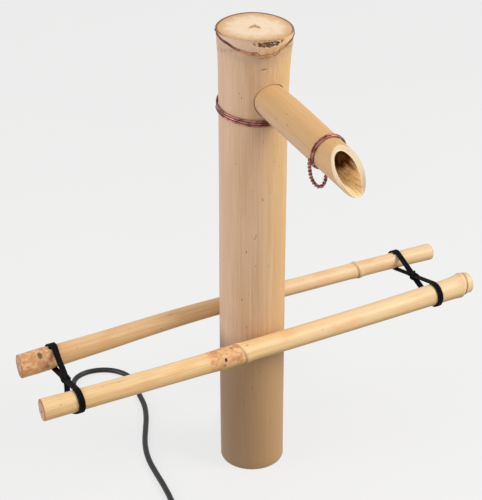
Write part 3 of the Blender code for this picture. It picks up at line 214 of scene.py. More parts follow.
def tube_grid(points, radius, sides):
    """Rings round a path: point + radius * (cos a * side + sin a * other side).

    The radius is one number, one for each ring, or an array of rings x sides.
    """
    _, side, other = path_frames(points)
    a = TAU * np.arange(sides) / sides
    r = np.broadcast_to(np.asarray(radius, float).reshape(-1, 1)
                        if np.ndim(radius) < 2 else radius, (len(points), sides))
    ring = (np.cos(a)[None, :, None] * side[:, None]
            + np.sin(a)[None, :, None] * other[:, None])
    return np.asarray(points, float)[:, None] + r[..., None] * ring


def smooth_path(points, spacing):
    """Even steps on the smooth curve through given points (Catmull-Rom)."""
    p = np.asarray(points, float)
    q = np.vstack([2 * p[0] - p[1], p, 2 * p[-1] - p[-2]])
    t = np.linspace(0, 1, 24, endpoint=False)[None, :, None]
    a, b, c, d = (q[k:len(q) - 3 + k, None] for k in range(4))
    fine = 0.5 * (2 * b + (c - a) * t + (2 * a - 5 * b + 4 * c - d) * t**2
                  + (3 * b - a - 3 * c + d) * t**3)
    fine = np.vstack([fine.reshape(-1, 3), p[-1:]])
    run = np.concatenate([[0], np.cumsum(np.linalg.norm(np.diff(fine, axis=0), axis=1))])
    at = np.linspace(0, run[-1], max(2, int(round(run[-1] / spacing)) + 1))
    return np.stack([np.interp(at, run, fine[:, k]) for k in range(3)], axis=1)


def length_of(points):
    """Metres along a path: the sum of the distances between its points."""
    return float(np.linalg.norm(np.diff(points, axis=0), axis=1).sum())


print("path helpers ready")

# %% [markdown]
# ## The lead
#
# The pump's mains lead is a fixed length of something flexible. It could be a
# rope simulation, but the photographed bends would then be luck. A route of
# listed points follows what is seen and passes behind the culm and the
# near cane, and the slack goes into a neat coil of real turns with a strap.

# %% Place the lead's points
CORD_RADIUS = 0.0029
CORD_REST = 0.0030
LEAD_EXIT = (0.0, 0.0416, 0.0092)
LEAD_ROUTE = (
    (0.0000, 0.0460, 0.0092),
    (0.0000, 0.0500, 0.0088), (0.0030, 0.0610, 0.0070), (0.0105, 0.0725, 0.0048),
    (0.0210, 0.0840, 0.0033), (0.0330, 0.0960, 0.0030), (0.0450, 0.1095, 0.0030),
    (0.0545, 0.1250, 0.0030), (0.0600, 0.1440, 0.0030), (0.0560, 0.1600, 0.0030),
    (0.0430, 0.1695, 0.0030), (0.0250, 0.1715, 0.0031), (0.0050, 0.1713, 0.0036),
    (-0.0150, 0.1711, 0.0055), (-0.0350, 0.1711, 0.0083), (-0.0530, 0.1710, 0.0096),
    (-0.0710, 0.1705, 0.0080), (-0.0880, 0.1697, 0.0040), (-0.1030, 0.1725, 0.0030),
    (-0.1130, 0.1830, 0.0030), (-0.1140, 0.1970, 0.0030), (-0.1060, 0.2100, 0.0030),
    (-0.0920, 0.2155, 0.0030), (-0.0760, 0.2130, 0.0030), (-0.0620, 0.2035, 0.0030),
    (-0.0535, 0.1880, 0.0030), (-0.0535, 0.1690, 0.0030), (-0.0580, 0.1480, 0.0030),
    (-0.0625, 0.1250, 0.0030), (-0.0705, 0.1040, 0.0030), (-0.0805, 0.0845, 0.0030),
    (-0.0900, 0.0660, 0.0030), (-0.0970, 0.0480, 0.0030), (-0.1015, 0.0300, 0.0030),
    (-0.1040, 0.0110, 0.0030), (-0.1060, -0.0080, 0.0030), (-0.1085, -0.0260, 0.0030),
    (-0.1110, -0.0430, 0.0031),
)
COIL_CENTRE = (-0.1550, -0.0920)
COIL_RADIUS = 0.0344
COIL_PITCH = 0.0063
COIL_TUCK_SHARE = 0.22
COIL_LOWER_TURNS = 2.5
COIL_UPPER_TURNS = 2.25
COIL_BASE = 0.0041
COIL_STEPS = 24
LEAD_STEP = 0.004
LEAD_SIDES = 20
print("lead's hand-placed points:", len(LEAD_ROUTE))


# %% Route the lead
def coil_path():
    """Two layers: radius falls evenly with the angle, climbs a layer, then grows."""
    inner = COIL_RADIUS - COIL_PITCH * COIL_LOWER_TURNS / 2
    half_turn_steps = COIL_STEPS // 2
    down = np.arange(0, COIL_LOWER_TURNS + 0.001, 1 / COIL_STEPS)
    climb = np.arange(1, half_turn_steps + 1) / half_turn_steps
    up = np.arange(1, round(COIL_UPPER_TURNS * COIL_STEPS) + 1) / COIL_STEPS
    turns = np.concatenate([down, down[-1] + climb / 2, down[-1] + 0.5 + up])
    radius = np.concatenate([inner + COIL_PITCH * (COIL_LOWER_TURNS - down),
                             inner - COIL_PITCH * COIL_TUCK_SHARE * np.sin(math.pi * climb),
                             inner + COIL_PITCH * up])
    height = np.concatenate([np.full(len(down), COIL_BASE),
                             COIL_BASE + COIL_PITCH * (1 - np.cos(math.pi * climb)) / 2,
                             np.full(len(up), COIL_BASE + COIL_PITCH)])
    a = -TAU * turns
    coil = np.stack([COIL_CENTRE[0] + radius * np.cos(a),
                     COIL_CENTRE[1] + radius * np.sin(a), height], axis=1)
    first = (coil[0] - coil[1]) / np.linalg.norm(coil[0] - coil[1])
    last = (coil[-1] - coil[-2]) / np.linalg.norm(coil[-1] - coil[-2])
    return np.vstack([coil[0] + first * 2 * CORD_RADIUS, coil,
                      coil[-1] + last * 2 * CORD_RADIUS])


def lead_path():
    """The listed stretch, joined to the coil along the coil's first direction."""
    coil = coil_path()
    into = (coil[1] - coil[0]) / np.linalg.norm(coil[1] - coil[0])
    approach = [coil[0] - into * CORD_RADIUS * 7, coil[0] - into * CORD_RADIUS * 3]
    stretch = smooth_path(list(LEAD_ROUTE) + approach, CORD_RADIUS * 2.5)
    stretch[:, 2] = np.maximum(stretch[:, 2], CORD_REST)
    rough = np.vstack([LEAD_EXIT, stretch, coil])
    return smooth_path(rough, LEAD_STEP)


lead_points = lead_path()
lead = surface("lead", tube_grid(lead_points, CORD_RADIUS, LEAD_SIDES))
print("lead (m):", round(length_of(lead_points), 4), "points:", len(lead_points))

# %% [markdown]
# ## Finishes as formulas
#
# A finish is arithmetic on the place of a point: how far along the cane, how
# far round it, how close to a scar. Node links can be drawn one by one, but
# then the arithmetic can't be read. Here a node's output is wrapped, so that
# plus, minus and times add the Math nodes by themselves.

# %% Wrap a node's output
def operator(operation, swapped=False):
    """A method that adds one Math node, with its two values swapped where asked."""
    def method(self, other):
        values = (other, self) if swapped else (self, other)
        return self.sum(operation, *values)
    return method


class Link:
    """A node's output. Operators on it add Math nodes."""

    def __init__(self, tree, socket):
        self.tree = tree
        self.socket = socket

    def node(self, kind, settings=None, inputs=None, output=0):
        """Any other node: its type, its settings first, then its sockets."""
        made = self.tree.nodes.new(kind)
        for key, value in (settings or {}).items():
            setattr(made, key, value)
        for key, value in (inputs or {}).items():
            if isinstance(value, Link):
                self.tree.links.new(value.socket, made.inputs[key])
            else:
                made.inputs[key].default_value = value
        return Link(self.tree, made.outputs[output])

    def sum(self, operation, *values):
        """A Math node of that operation on links or plain numbers."""
        return self.node("ShaderNodeMath", {"operation": operation}, dict(enumerate(values)))

    __add__ = operator("ADD")
    __radd__ = operator("ADD", swapped=True)
    __sub__ = operator("SUBTRACT")
    __rsub__ = operator("SUBTRACT", swapped=True)
    __mul__ = operator("MULTIPLY")
    __rmul__ = operator("MULTIPLY", swapped=True)
    __truediv__ = operator("DIVIDE")
    __pow__ = operator("POWER")


print("links add, take away, multiply, divide and raise")


# %% Name the steps of a finish
def band(value, low, high):
    """Smooth step of a link: 0 at low, 1 at high."""
    return value.node("ShaderNodeMapRange", {"interpolation_type": "SMOOTHSTEP"},
                      {"Value": value, "From Min": low, "From Max": high})


def hump(value, middle, half):
    """1 at the middle, 0 at half a width either side."""
    return band(value, middle - half, middle) * (1 - band(value, middle, middle + half))


def tint(factor, first, second):
    """Mix two colours, links or written ones."""
    return factor.node("ShaderNodeMix", {"data_type": "RGBA"},
                       {0: factor, 6: first, 7: second}, 2)


def placed(place, scale, turn=(0.0, 0.0, 0.0)):
    """The place, scaled along x, y and z and turned, to stretch a pattern."""
    return place.node("ShaderNodeMapping", {},
                      {"Vector": place, "Scale": scale, "Rotation": turn})


def noise(place, scale=1.0, detail=2.0, rough=0.5):
    """Soft random values around a half, in octaves that each halve in size."""
    return place.node("ShaderNodeTexNoise", {},
                      {"Vector": place, "Scale": scale, "Detail": detail, "Roughness": rough})


def parts(vector):
    """The x, y and z of a vector as three links."""
    first = vector.node("ShaderNodeSeparateXYZ", {}, {0: vector})
    outputs = first.socket.node.outputs
    return first, Link(vector.tree, outputs[1]), Link(vector.tree, outputs[2])


def relief(height, strength, distance):
    """Bump from a height link."""
    return height.node("ShaderNodeBump", {},
                       {"Height": height, "Strength": strength, "Distance": distance})


print("finish steps ready")


# %% Start and feed a material
def ink(red, green, blue):
    """A screen colour, 0 to 255, as the linear colour that a shader needs."""
    shares = np.array([red, green, blue]) / 255
    linear = np.where(shares <= 0.04045, shares / 12.92, ((shares + 0.055) / 1.055) ** 2.4)
    return (*(float(v) for v in linear), 1.0)


def new_material(name):
    """A material, its Principled shader and a link to the place of a point."""
    material = bpy.data.materials.new(name)
    material.use_nodes = True
    tree = material.node_tree
    shader = tree.nodes["Principled BSDF"]
    place = Link(tree, tree.nodes.new("ShaderNodeTexCoord").outputs["Object"])
    return material, shader, place


def feed(shader, **values):
    """Set or link the shader's sockets. Words are socket names with _ for a space."""
    tree = shader.id_data
    for word, value in values.items():
        socket = shader.inputs[word.replace("_", " ")]
        if isinstance(value, Link):
            tree.links.new(value.socket, socket)
        else:
            socket.default_value = value


def attribute(place, name):
    """A number that was painted on the surface's points."""
    return place.node("ShaderNodeAttribute", {"attribute_name": name}, {}, 2)


print("material helpers ready")

# %% [markdown]
# ## Dry bamboo
#
# Split bamboo shows parallel fibres, so its colour changes quickly across the
# cane and slowly along it. A wood texture from a photograph would repeat and
# can't wrap a cane. Noise that is stretched along the cane gives fibres of any
# width, and two scales of it give both broad staining and fine grain. Short
# dark flecks are the same noise, cut off near its peaks.

# %% Build the bamboo finish
STAIN_SCALE = (38.0, 38.0, 7.0)
FIBRE_SCALE = (620.0, 620.0, 11.0)
HAIR_SCALE = (2300.0, 2300.0, 42.0)
FLECK_SCALE = (430.0, 430.0, 150.0)


def along_cane(place, turn, shift=(0.0, 0.0, 0.0)):
    """The place in a cane's own directions, with z along the cane."""
    return place.node("ShaderNodeMapping", {"vector_type": "TEXTURE"},
                      {"Vector": place, "Rotation": turn, "Location": shift})


def bamboo_colour(local, pale, deep, fleck, fleck_share):
    """Broad stains, fine fibres and flecks. Returns the colour and the grain's height."""
    stain = noise(placed(local, STAIN_SCALE), 1.0, 3.0, 0.55)
    fibre = noise(placed(local, FIBRE_SCALE), 1.0, 3.0, 0.6)
    hair = noise(placed(local, HAIR_SCALE), 1.0, 2.0, 0.6)
    spot = noise(placed(local, FLECK_SCALE), 1.0, 1.0, 0.4)
    tone = stain * 0.34 + fibre * 0.38 + hair * 0.28
    colour = tint(band(tone, 0.36, 0.64), deep, pale)
    flecks = band(spot, fleck_share, fleck_share + 0.05) * 0.75
    colour = tint(flecks, colour, fleck)
    return colour, fibre * 0.6 + hair * 0.4 - flecks * 0.5


print("bamboo finish ready")


# %% Paint and dress a piece
def paint(obj, **masks):
    """Write each mask, one number per vertex, as an attribute that materials can read."""
    for name, values in masks.items():
        layer = obj.data.attributes.new(name, "FLOAT", "POINT")
        layer.data.foreach_set("value", np.asarray(values, np.float32))


def vertices_of(obj):
    """The mesh's points as an array of rows of x, y, z."""
    points = np.empty(len(obj.data.vertices) * 3, np.float32)
    obj.data.vertices.foreach_get("co", points)
    return points.reshape(-1, 3).astype(float)


def uneven(angle, run, seed, turns=4, length=0.05, waves=8):
    """Soft unevenness near -1 to 1: a sum of sines, whole in the angle."""
    rng = np.random.default_rng(seed)
    total = 0.0
    for _ in range(waves):
        whole = rng.integers(0, turns + 1)
        pitch = rng.uniform(-TAU, TAU) / length
        total = total + np.sin(whole * angle + pitch * run + rng.uniform(0, TAU))
    return total / math.sqrt(waves)


def dress(obj, material, body, slot, *replaced):
    """Give a piece its finish, tie it to its body and hide the solids it replaces. The slot is not
    used.
    """
    obj.data.materials.clear()
    obj.data.materials.append(material)
    if replaced:
        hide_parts(*replaced)
    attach(obj, body)
    return obj


print("painting and dressing ready")

# %% [markdown]
# ## The culm
#
# The culm is cut just above a node, so its head shows the solid diaphragm, a
# sloping scar where the sheath grew, and a torn patch where the bark lifted.
# A lathe profile is round and level. Here each row of the grid is a curve of
# its own: rows near the head follow the sloping scar, and the rim follows the
# sloping saw cut.

# %% Measure the culm
VIEW_SIDE = math.radians(-118.8)
CULM_RADIUS = 0.0317
CULM_BORE = 0.0253
CULM_WAIST = ((0.0, 0.0), (0.05, 0.0), (0.20, -0.0001), (0.40, -0.0001),
              (0.432, -0.0007), (0.447, -0.0004))
CULM_HEIGHT = 0.4572
HEAD_RADIUS = 0.0349
FLARE_GROWTH = 0.0028
FLARE_LENGTH = 0.080
FLARE_TOP = 0.4429
HEAD_LEAN = ((0.20, 0.0), (0.30, 0.0006), (0.35, 0.0008), (0.40, 0.0013),
             (0.43, 0.0020), (0.445, 0.0024), (0.456, 0.0023))
LEAN_SIDE = np.array([0.876, -0.482])
CUT_SLOPE = math.tan(math.radians(2.0))
CUT_LOW_SIDE = VIEW_SIDE + math.radians(40)
CUT_ARCH = 0.0018
SCAR_HEIGHT = 0.4550
SCAR_SLOPE = math.tan(math.radians(15.9))
SCAR_LOW_SIDE = VIEW_SIDE + math.radians(10.7)
SCAR_LIP = 0.0015
SCAR_WAVES = ((-43, 13, 0.0012), (-7, 16, -0.0012))
SCAR_UNDER_RIM = 0.0012
SCAR_SECTION = ((-0.0017, 0.10), (-0.0012, 0.45), (-0.0008, 0.85), (-0.0004, 1.0),
                (0.0000, 0.98), (0.0004, 0.75), (0.0008, 0.42), (0.0012, 0.15))
FLAP_MIDDLE = VIEW_SIDE + math.radians(21)
FLAP_HALF = math.radians(20)
FLAP_EDGE = math.radians(7)
FLAP_SAG = 0.0033
TORN_MIDDLE = VIEW_SIDE + math.radians(23)
TORN_HALF = math.radians(34)
TORN_START = 0.46
TORN_DEPTH = 0.58
DIAPHRAGM = 0.441
DIAPHRAGM_SECTION = ((0.004, 0.0), (0.012, 0.0), (0.0193, 0.0), (0.0226, 0.0008),
                     (0.0243, 0.0024), (CULM_BORE, 0.006))
print("culm (m):", 2 * CULM_RADIUS, "wide,", CULM_HEIGHT, "tall")


# %% Cut and scar the head
def turn_from(angle, middle):
    """Signed angle from a middle direction, between -pi and pi."""
    return (angle - middle + math.pi) % TAU - math.pi


def eased(share):
    """Smooth step of a share: three times its square less twice its cube."""
    return share * share * (3 - 2 * share)


def peak(value, middle, half):
    """1 at the middle, falling evenly to 0 at half a width either side."""
    return np.clip(1 - np.abs(value - middle) / half, 0, 1)


def cut_height(radius, angle):
    """The saw cut: a plane that falls slightly to the front, and sinks at its two sides."""
    arch = CUT_ARCH * (radius * np.sin(angle - VIEW_SIDE) / HEAD_RADIUS) ** 2
    return CULM_HEIGHT - CUT_SLOPE * radius * np.cos(angle - CUT_LOW_SIDE) - arch


def torn(angle):
    """1 in the middle of the torn patch, 0 outside it."""
    return eased(peak(turn_from(angle, TORN_MIDDLE), 0.0, TORN_HALF))


def torn_window(share):
    """Angle for a sine that digs only the upper part of the band, share 0 to 1 up it."""
    return np.clip(math.pi * (share - TORN_START) / TORN_DEPTH, 0, math.pi)


def ragged_bark(angle, height):
    """Fine uneven rags for the torn patch's shape and its colour."""
    return uneven(angle, height, 19, 75, 0.0022, 24)


def scar_height(angle):
    """The scar: a sloping, waved plane that sags as a ragged flap, kept under the rim."""
    plane = SCAR_HEIGHT - SCAR_SLOPE * HEAD_RADIUS * np.cos(angle - SCAR_LOW_SIDE)
    turn = np.degrees(turn_from(angle, VIEW_SIDE))
    for middle, half, rise in SCAR_WAVES:
        plane = plane + rise * np.exp(-((turn - middle) / half) ** 2)
    away = np.abs(turn_from(angle, FLAP_MIDDLE))
    flap = eased(np.clip((FLAP_HALF - away) / FLAP_EDGE, 0, 1))
    sag = FLAP_SAG * flap * (1 + 0.13 * np.sin(29 * angle) + 0.06 * np.sin(61 * angle + 1))
    wobble = 0.00020 * uneven(angle, 0.0, 3, 18)
    return np.minimum(plane - sag + wobble, cut_height(HEAD_RADIUS, angle) - SCAR_UNDER_RIM)


def head_shift(height):
    """The cane leans: how far it stands off its axis at a height."""
    rise, lean = np.array(HEAD_LEAN).T
    return np.interp(height, rise, lean)[..., None] * LEAN_SIDE


def wall_radius(angle, height):
    """Outer radius: a slight waist, a flare to the head, and a natural out-of-round."""
    depth = np.clip((FLARE_TOP - height) / FLARE_LENGTH, 0, 1)
    flare = FLARE_GROWTH * (1 - depth) ** 2.6
    swell = np.interp(height, *np.array(CULM_WAIST).T)
    rough = 0.00016 * uneven(angle, height, 5, 3, 0.30)
    return CULM_RADIUS + swell + flare + rough * np.clip(height / 0.02, 0, 1)


print("scar's lowest and highest (m):", scar_height(np.linspace(0, TAU, 90)).min().round(4),
      scar_height(np.linspace(0, TAU, 90)).max().round(4))


# %% Lay out the culm's rows
CULM_COLUMNS = 384


def bore_rows(angle, one):
    """Out under the diaphragm, down the bore and over the sawn foot."""
    rows = [(radius * one, (DIAPHRAGM - drop) * one) for radius, drop in DIAPHRAGM_SECTION]
    for height in np.linspace(DIAPHRAGM - 0.02, 0.0012, 14):
        bore = CULM_BORE + 0.0002 * uneven(angle, height, 7, 4, 0.2) * (height > 0.005)
        rows.append((bore, height * one))
    saw = 0.00012 * uneven(angle, 0.0, 11, 24)
    return rows + [((CULM_BORE + 0.0006) * one, saw * 0),
                   ((CULM_RADIUS - 0.0030) * one, np.abs(saw)),
                   ((CULM_RADIUS - 0.0006) * one, saw * 0)]


def wall_rows(angle, scar):
    """Up the wall: level near the foot, and along the scar's slope near the scar."""
    rows = []
    for share in np.linspace(0.003, 1, 72):
        level = share * (SCAR_HEIGHT - 0.0022)
        height = level + (scar - SCAR_HEIGHT) * share ** 7
        rows.append((wall_radius(angle, height), height))
    return rows


def lip_rows(angle, scar, rim):
    """Over the scar's lip, which is thinner where the scar comes near the rim."""
    lip = SCAR_LIP * (1 + 0.25 * uneven(angle, 0.0, 13, 30))
    lip = lip * (0.55 + 0.45 * np.clip((rim - scar) / 0.006, 0, 1)) + 0.0004 * torn(angle)
    return [(wall_radius(angle, scar) + lip * share, scar + rise)
            for rise, share in SCAR_SECTION]


def torn_rows(angle, scar, rim):
    """Up the band over the scar: the torn patch is dug by noise under a sine window."""
    low = scar + 0.0015
    top = rim - 0.0004
    tear = torn(angle)
    rows = []
    for share in np.linspace(0.02, 1, 34):
        height = low + (top - low) * share
        radius = HEAD_RADIUS - 0.0002 * share + 0.00025 * uneven(angle, height, 17, 7, 0.02)
        fibres = uneven(angle, height, 23, 120, 0.012, 24)
        dig = tear * np.sin(torn_window(share)) * (0.55 + 0.5 * ragged_bark(angle, height))
        shelf = tear * peak(share, 0.16, 0.16) * (0.5 + 0.35 * fibres)
        rows.append((radius - 0.0014 * np.clip(dig, -0.1, 1.6) + 0.0006 * shelf, height))
    return rows


def face_rows(angle, one):
    """Over the nicked rim and in over the sawn face, to the dimple in its middle."""
    nick = (0.0002 * uneven(angle, 0.0, 29, 40)
            - 0.0004 * torn(angle) * np.abs(uneven(angle, 0.0, 31, 60)))
    rows = [((HEAD_RADIUS - inset) * one + nick * 0.6,
             cut_height(HEAD_RADIUS - inset, angle) - drop)
            for inset, drop in ((0.0004, 0.00012), (0.0008, 0.0))]
    dimple = 0.0042 * (1 + 0.34 * np.cos(3 * (angle - VIEW_SIDE - math.pi)))
    for radius in (HEAD_RADIUS - 0.0012) * (1 - np.linspace(0.01, 0.985, 44)):
        saw = 0.00007 * uneven(angle, radius, 37, 12, 0.006)
        hollow = 0.0011 * np.clip(1 - radius / dimple, 0, 1) ** 0.7
        dish = 0.0005 * (1 - (radius / HEAD_RADIUS) ** 2)
        rows.append((radius * one, cut_height(radius, angle) + saw - hollow - dish))
    return rows


def culm_grid():
    """Each row is a radius and a height over the angle. Columns crowd at the torn patch."""
    even = TAU * np.arange(CULM_COLUMNS) / CULM_COLUMNS
    angle = even - 0.45 * np.sin(even - TORN_MIDDLE)
    one = np.ones(CULM_COLUMNS)
    scar = scar_height(angle)
    rim = cut_height(HEAD_RADIUS, angle)
    rows = (bore_rows(angle, one) + wall_rows(angle, scar) + lip_rows(angle, scar, rim)
            + torn_rows(angle, scar, rim) + face_rows(angle, one))
    radius = np.stack([r for r, _ in rows])
    height = np.stack([h for _, h in rows])
    flat = np.stack([radius * np.cos(angle), radius * np.sin(angle)], axis=-1)
    return np.concatenate([flat + head_shift(height), height[..., None]], axis=-1)


culm = surface("culm_skin", culm_grid())
print("culm faces:", len(culm.data.polygons))


# %% Cut the spout's hole and the lead's notch
SPOUT_RADIUS = 0.0162
SPOUT_FALL = math.radians(11.3)
SPOUT_TURN = math.radians(3.5)
SPOUT_ROOT = np.array([0.0, 0.0, 0.404])
SPOUT_ALONG = np.array([math.sin(SPOUT_TURN) * math.cos(SPOUT_FALL),
                        -math.cos(SPOUT_TURN) * math.cos(SPOUT_FALL), -math.sin(SPOUT_FALL)])
NOTCH_WIDTH = 0.028
NOTCH_HEIGHT = 0.017
NOTCH_CORNER = 0.003


def cut_away(obj, *tools):
    """Cut a piece by other meshes, keep the result and delete the tools."""
    for tool in tools:
        cut = obj.modifiers.new("cut", "BOOLEAN")
        cut.solver = "EXACT"
        cut.object = tool
    bpy.context.view_layer.update()
    graph = bpy.context.evaluated_depsgraph_get()
    mesh = bpy.data.meshes.new_from_object(obj.evaluated_get(graph))
    obj.modifiers.clear()
    obj.data = mesh
    for tool in tools:
        bpy.data.objects.remove(tool, do_unlink=True)
    return obj


def hole_tool():
    """A plain round bar along the spout's axis, a hair thinner than the spout."""
    ends = np.linspace(0.0, 0.058, 3)[:, None] * SPOUT_ALONG + SPOUT_ROOT
    return surface("hole_tool", tube_grid(ends - (0, 0, 0.0005), SPOUT_RADIUS - 0.0002, 64))


def notch_tool():
    """An arch with rounded shoulders, carried outwards through the wall."""
    half = NOTCH_WIDTH / 2 - NOTCH_CORNER
    arc = np.linspace(0, math.pi / 2, 7)
    right = np.stack([half + NOTCH_CORNER * np.cos(arc),
                      NOTCH_HEIGHT - NOTCH_CORNER + NOTCH_CORNER * np.sin(arc)], axis=1)
    left = right[::-1] * (-1, 1)
    outline = np.vstack([[NOTCH_WIDTH / 2, -0.01], right, left, [-NOTCH_WIDTH / 2, -0.01]])
    depth = np.array([CULM_BORE / 2, CULM_RADIUS + 0.003])
    grid = np.empty((2, len(outline), 3))
    grid[..., 0] = outline[:, 0]
    grid[..., 1] = depth[:, None]
    grid[..., 2] = outline[:, 1]
    return surface("notch_tool", grid)


cut_away(culm, hole_tool(), notch_tool())
culm.data.shade_smooth()
sharpen(culm, 38)
print("culm faces after the cuts:", len(culm.data.polygons))

# %% [markdown]
# ## The culm's finish
#
# Dry culm wall is satin. It is painted golden on the side toward the key lamp
# and pinkish on the side away from it, which is painted light and shade. The foot
# was often wet, so it is darker and smoother, and that darkening, deeper on the
# side away from the lamp, is partly painted shade.
# The saw cut shows pale wood inside a brown rind. Each of these is a mask from
# the height above the foot, from the scar's plane or from the distance to the
# axis, so the finish follows the shape wherever it is looked at.

# %% Paint the culm's masks
def culm_masks(obj):
    """Paint how much each point belongs to the scar, the tear, the wax and the cut."""
    p = vertices_of(obj)
    p[:, :2] -= head_shift(p[:, 2])
    angle = np.arctan2(p[:, 1], p[:, 0])
    radius = np.hypot(p[:, 0], p[:, 1])
    scar = scar_height(angle)
    rim = cut_height(HEAD_RADIUS, angle)
    above = p[:, 2] - scar
    outer = radius > CULM_BORE + 0.004
    left = np.clip(-1.6 * np.sin(angle - VIEW_SIDE) - 0.5, 0, 1)
    share = np.clip(above / np.maximum(rim - scar, 0.001), 0, 1)
    ragged = ragged_bark(angle, p[:, 2])
    streak = np.sin(3200 * p[:, 2] + 17 * angle + 1.5 * ragged)
    tear = (torn(angle) ** 0.7 * np.sin(torn_window(share))
            * (0.95 + 0.45 * ragged + 0.30 * streak))
    edge = peak(p[:, 2], rim, 0.0011) * (radius > HEAD_RADIUS - 0.0016)
    paint(obj,
          scar=peak(above, 0.0002, 0.0013 + 0.0007 * left) * outer,
          tear=np.clip(tear, 0, 1) * outer,
          cut=(p[:, 2] > cut_height(radius, angle) - 0.0022) & (radius < HEAD_RADIUS - 0.0006),
          edge=edge * (1 - 0.75 * np.clip((rim - scar - 0.003) / 0.003, 0, 1)),
          wax=peak(above, -0.007, 0.009) * outer,
          shelf=torn(angle) * peak(share, 0.30, 0.26) * outer,
          # crease: a painted shadow line just over the scar's lip; under: painted shade just below
          # it.
          crease=peak(above, 0.0015, 0.0008) * outer,
          under=peak(above, -0.0014, 0.0006) * outer,
          band=(share > 0.02) & (share < 1.0) & outer)


culm_masks(culm)
print("culm points painted:", len(culm.data.vertices))


# %% Colour the culm's wall
PALE_WALL = ink(220, 183, 150)
DEEP_WALL = ink(202, 161, 122)
LIT_GOLD_WALL = ink(224, 184, 124)
LIT_GOLD_GRAIN = ink(206, 162, 104)
SHADED_ROSY_WALL = ink(214, 184, 164)
FLECK = ink(112, 78, 50)
WAX = ink(188, 158, 130)
COVE_SHADE = ink(146, 112, 80)
SLIT = ink(84, 54, 36)
BAND_SHADE = ink(222, 186, 164)
BAND_SUN = ink(230, 190, 138)
SUN_X, SUN_Y = (float(v) for v in LEAN_SIDE)
HEAD_CENTRE = (0.0020, -0.0011, 0.0)


def wall_finish(place, across, away):
    """Grain, painted light in gold toward the lamp and painted shade in pink away from it, wax, a
    band of painted shade for a shallow cove, and a slit.
    """
    x, y, z = parts(place)
    toward_lamp = x * SUN_X + y * SUN_Y
    colour, grain = bamboo_colour(place, PALE_WALL, DEEP_WALL, FLECK, 0.745)
    # Painted light and shade: gold on the side toward the key lamp, pink on the side away from it.
    lit_side = band(toward_lamp, 0.004, 0.034) * 0.85
    colour = tint(lit_side, colour, tint(band(grain, 0.2, 0.7), LIT_GOLD_GRAIN, LIT_GOLD_WALL))
    colour = tint(band(toward_lamp * -1.0, 0.004, 0.034) * 0.45, colour, SHADED_ROSY_WALL)
    cloud = noise(placed(place, (160, 160, 60)))
    colour = tint(attribute(place, "wax") * (0.35 + 0.4 * cloud), colour, WAX)
    # Painted shade: a soft darker band under the scar, standing in for a shallow cove in the wall.
    blur = noise(placed(place, (160, 160, 160)), 1.0, 3.0, 0.7)
    below = z + away * 0.28 - across * 0.053 - 0.4413 + blur * 0.006
    cove_shade = hump(below, 0.0, 0.0030) * band(blur, 0.35, 0.60)
    colour = tint(cove_shade * 0.45, colour, COVE_SHADE)
    slit = hump(z - across * 0.10, 0.4279, 0.0011) * hump(across, 0.0078, 0.0040)
    colour = tint(slit * (1 - band(away, -0.002, 0.0)) * 0.9, colour, SLIT)
    # The band over the scar also takes painted shade away from the lamp and painted light toward
    # it.
    over_scar = tint(lit_side, BAND_SHADE, BAND_SUN)
    return tint(attribute(place, "band") * 0.6, colour, over_scar), grain


print("wall colours (linear):", [round(v, 3) for v in PALE_WALL[:3] + DEEP_WALL[:3]])


# %% Colour the scar and the torn patch
RIND = ink(112, 66, 36)
CREASE_SHADE = ink(150, 98, 60)
SCAR_WORN = ink(192, 134, 94)
SCAR_TAN = ink(178, 130, 84)
SCAR_PLUM = ink(96, 54, 44)
UNDER_BROWN = ink(122, 80, 52)
UNDER_DARK = ink(88, 56, 34)
SHELF_DARK = ink(150, 104, 60)
SHELF_PALE = ink(216, 168, 106)
TORN_DARK = ink(52, 30, 18)
TORN_PALE = ink(186, 142, 104)


def scar_finish(colour, place, across):
    """Painted shadow in the crease over the lip, the worn lip, painted shade under it, then the
    torn fibres and their shelf.
    """
    # Painted shadow in the crease over the lip.
    colour = tint(attribute(place, "crease") * 0.6, colour, CREASE_SHADE)
    rim_side = band(across, 0.0225, 0.0320) + band(across * -1.0, 0.0090, 0.0240)
    middle = band(across, -0.002, 0.005)
    worn = tint(band(noise(placed(place, (300, 300, 90))), 0.30, 0.58), RIND, SCAR_WORN)
    worn = tint(middle * 0.8, worn, SCAR_TAN)
    lip = band(attribute(place, "scar"), 0.1, 0.7)
    colour = tint(lip, colour, tint(rim_side, worn, SCAR_PLUM))
    shade = tint(middle, UNDER_BROWN, UNDER_DARK)
    colour = tint(attribute(place, "under") * 0.8, colour, shade)
    fibres = noise(placed(place, (420, 420, 1500), (0.5, -0.5, 0.0)), 1.0, 3.0, 0.7)
    shelf = tint(band(fibres, 0.40, 0.56), SHELF_DARK, SHELF_PALE)
    colour = tint(attribute(place, "shelf") * 0.8, colour, shelf)
    tear = attribute(place, "tear")
    rags = tint(band(fibres, 0.46, 0.64), TORN_DARK, TORN_PALE)
    return tint(band(tear, 0.18, 0.50), colour, rags), fibres, tear


print("scar colours ready")


# %% Colour the sawn face and dress the culm
CUT_PALE = ink(239, 215, 185)
CUT_WARM = ink(208, 166, 118)
CUT_STAIN = ink(226, 192, 148)
PORES = ink(196, 156, 110)
CARET_DARK = ink(150, 110, 68)
CARET_PALE = ink(190, 148, 100)
BORE_DARK = ink(150, 112, 70)
BORE_PALE = ink(196, 158, 108)
WET_SHADE = ink(122, 94, 60)
WET_SUN = ink(172, 132, 86)


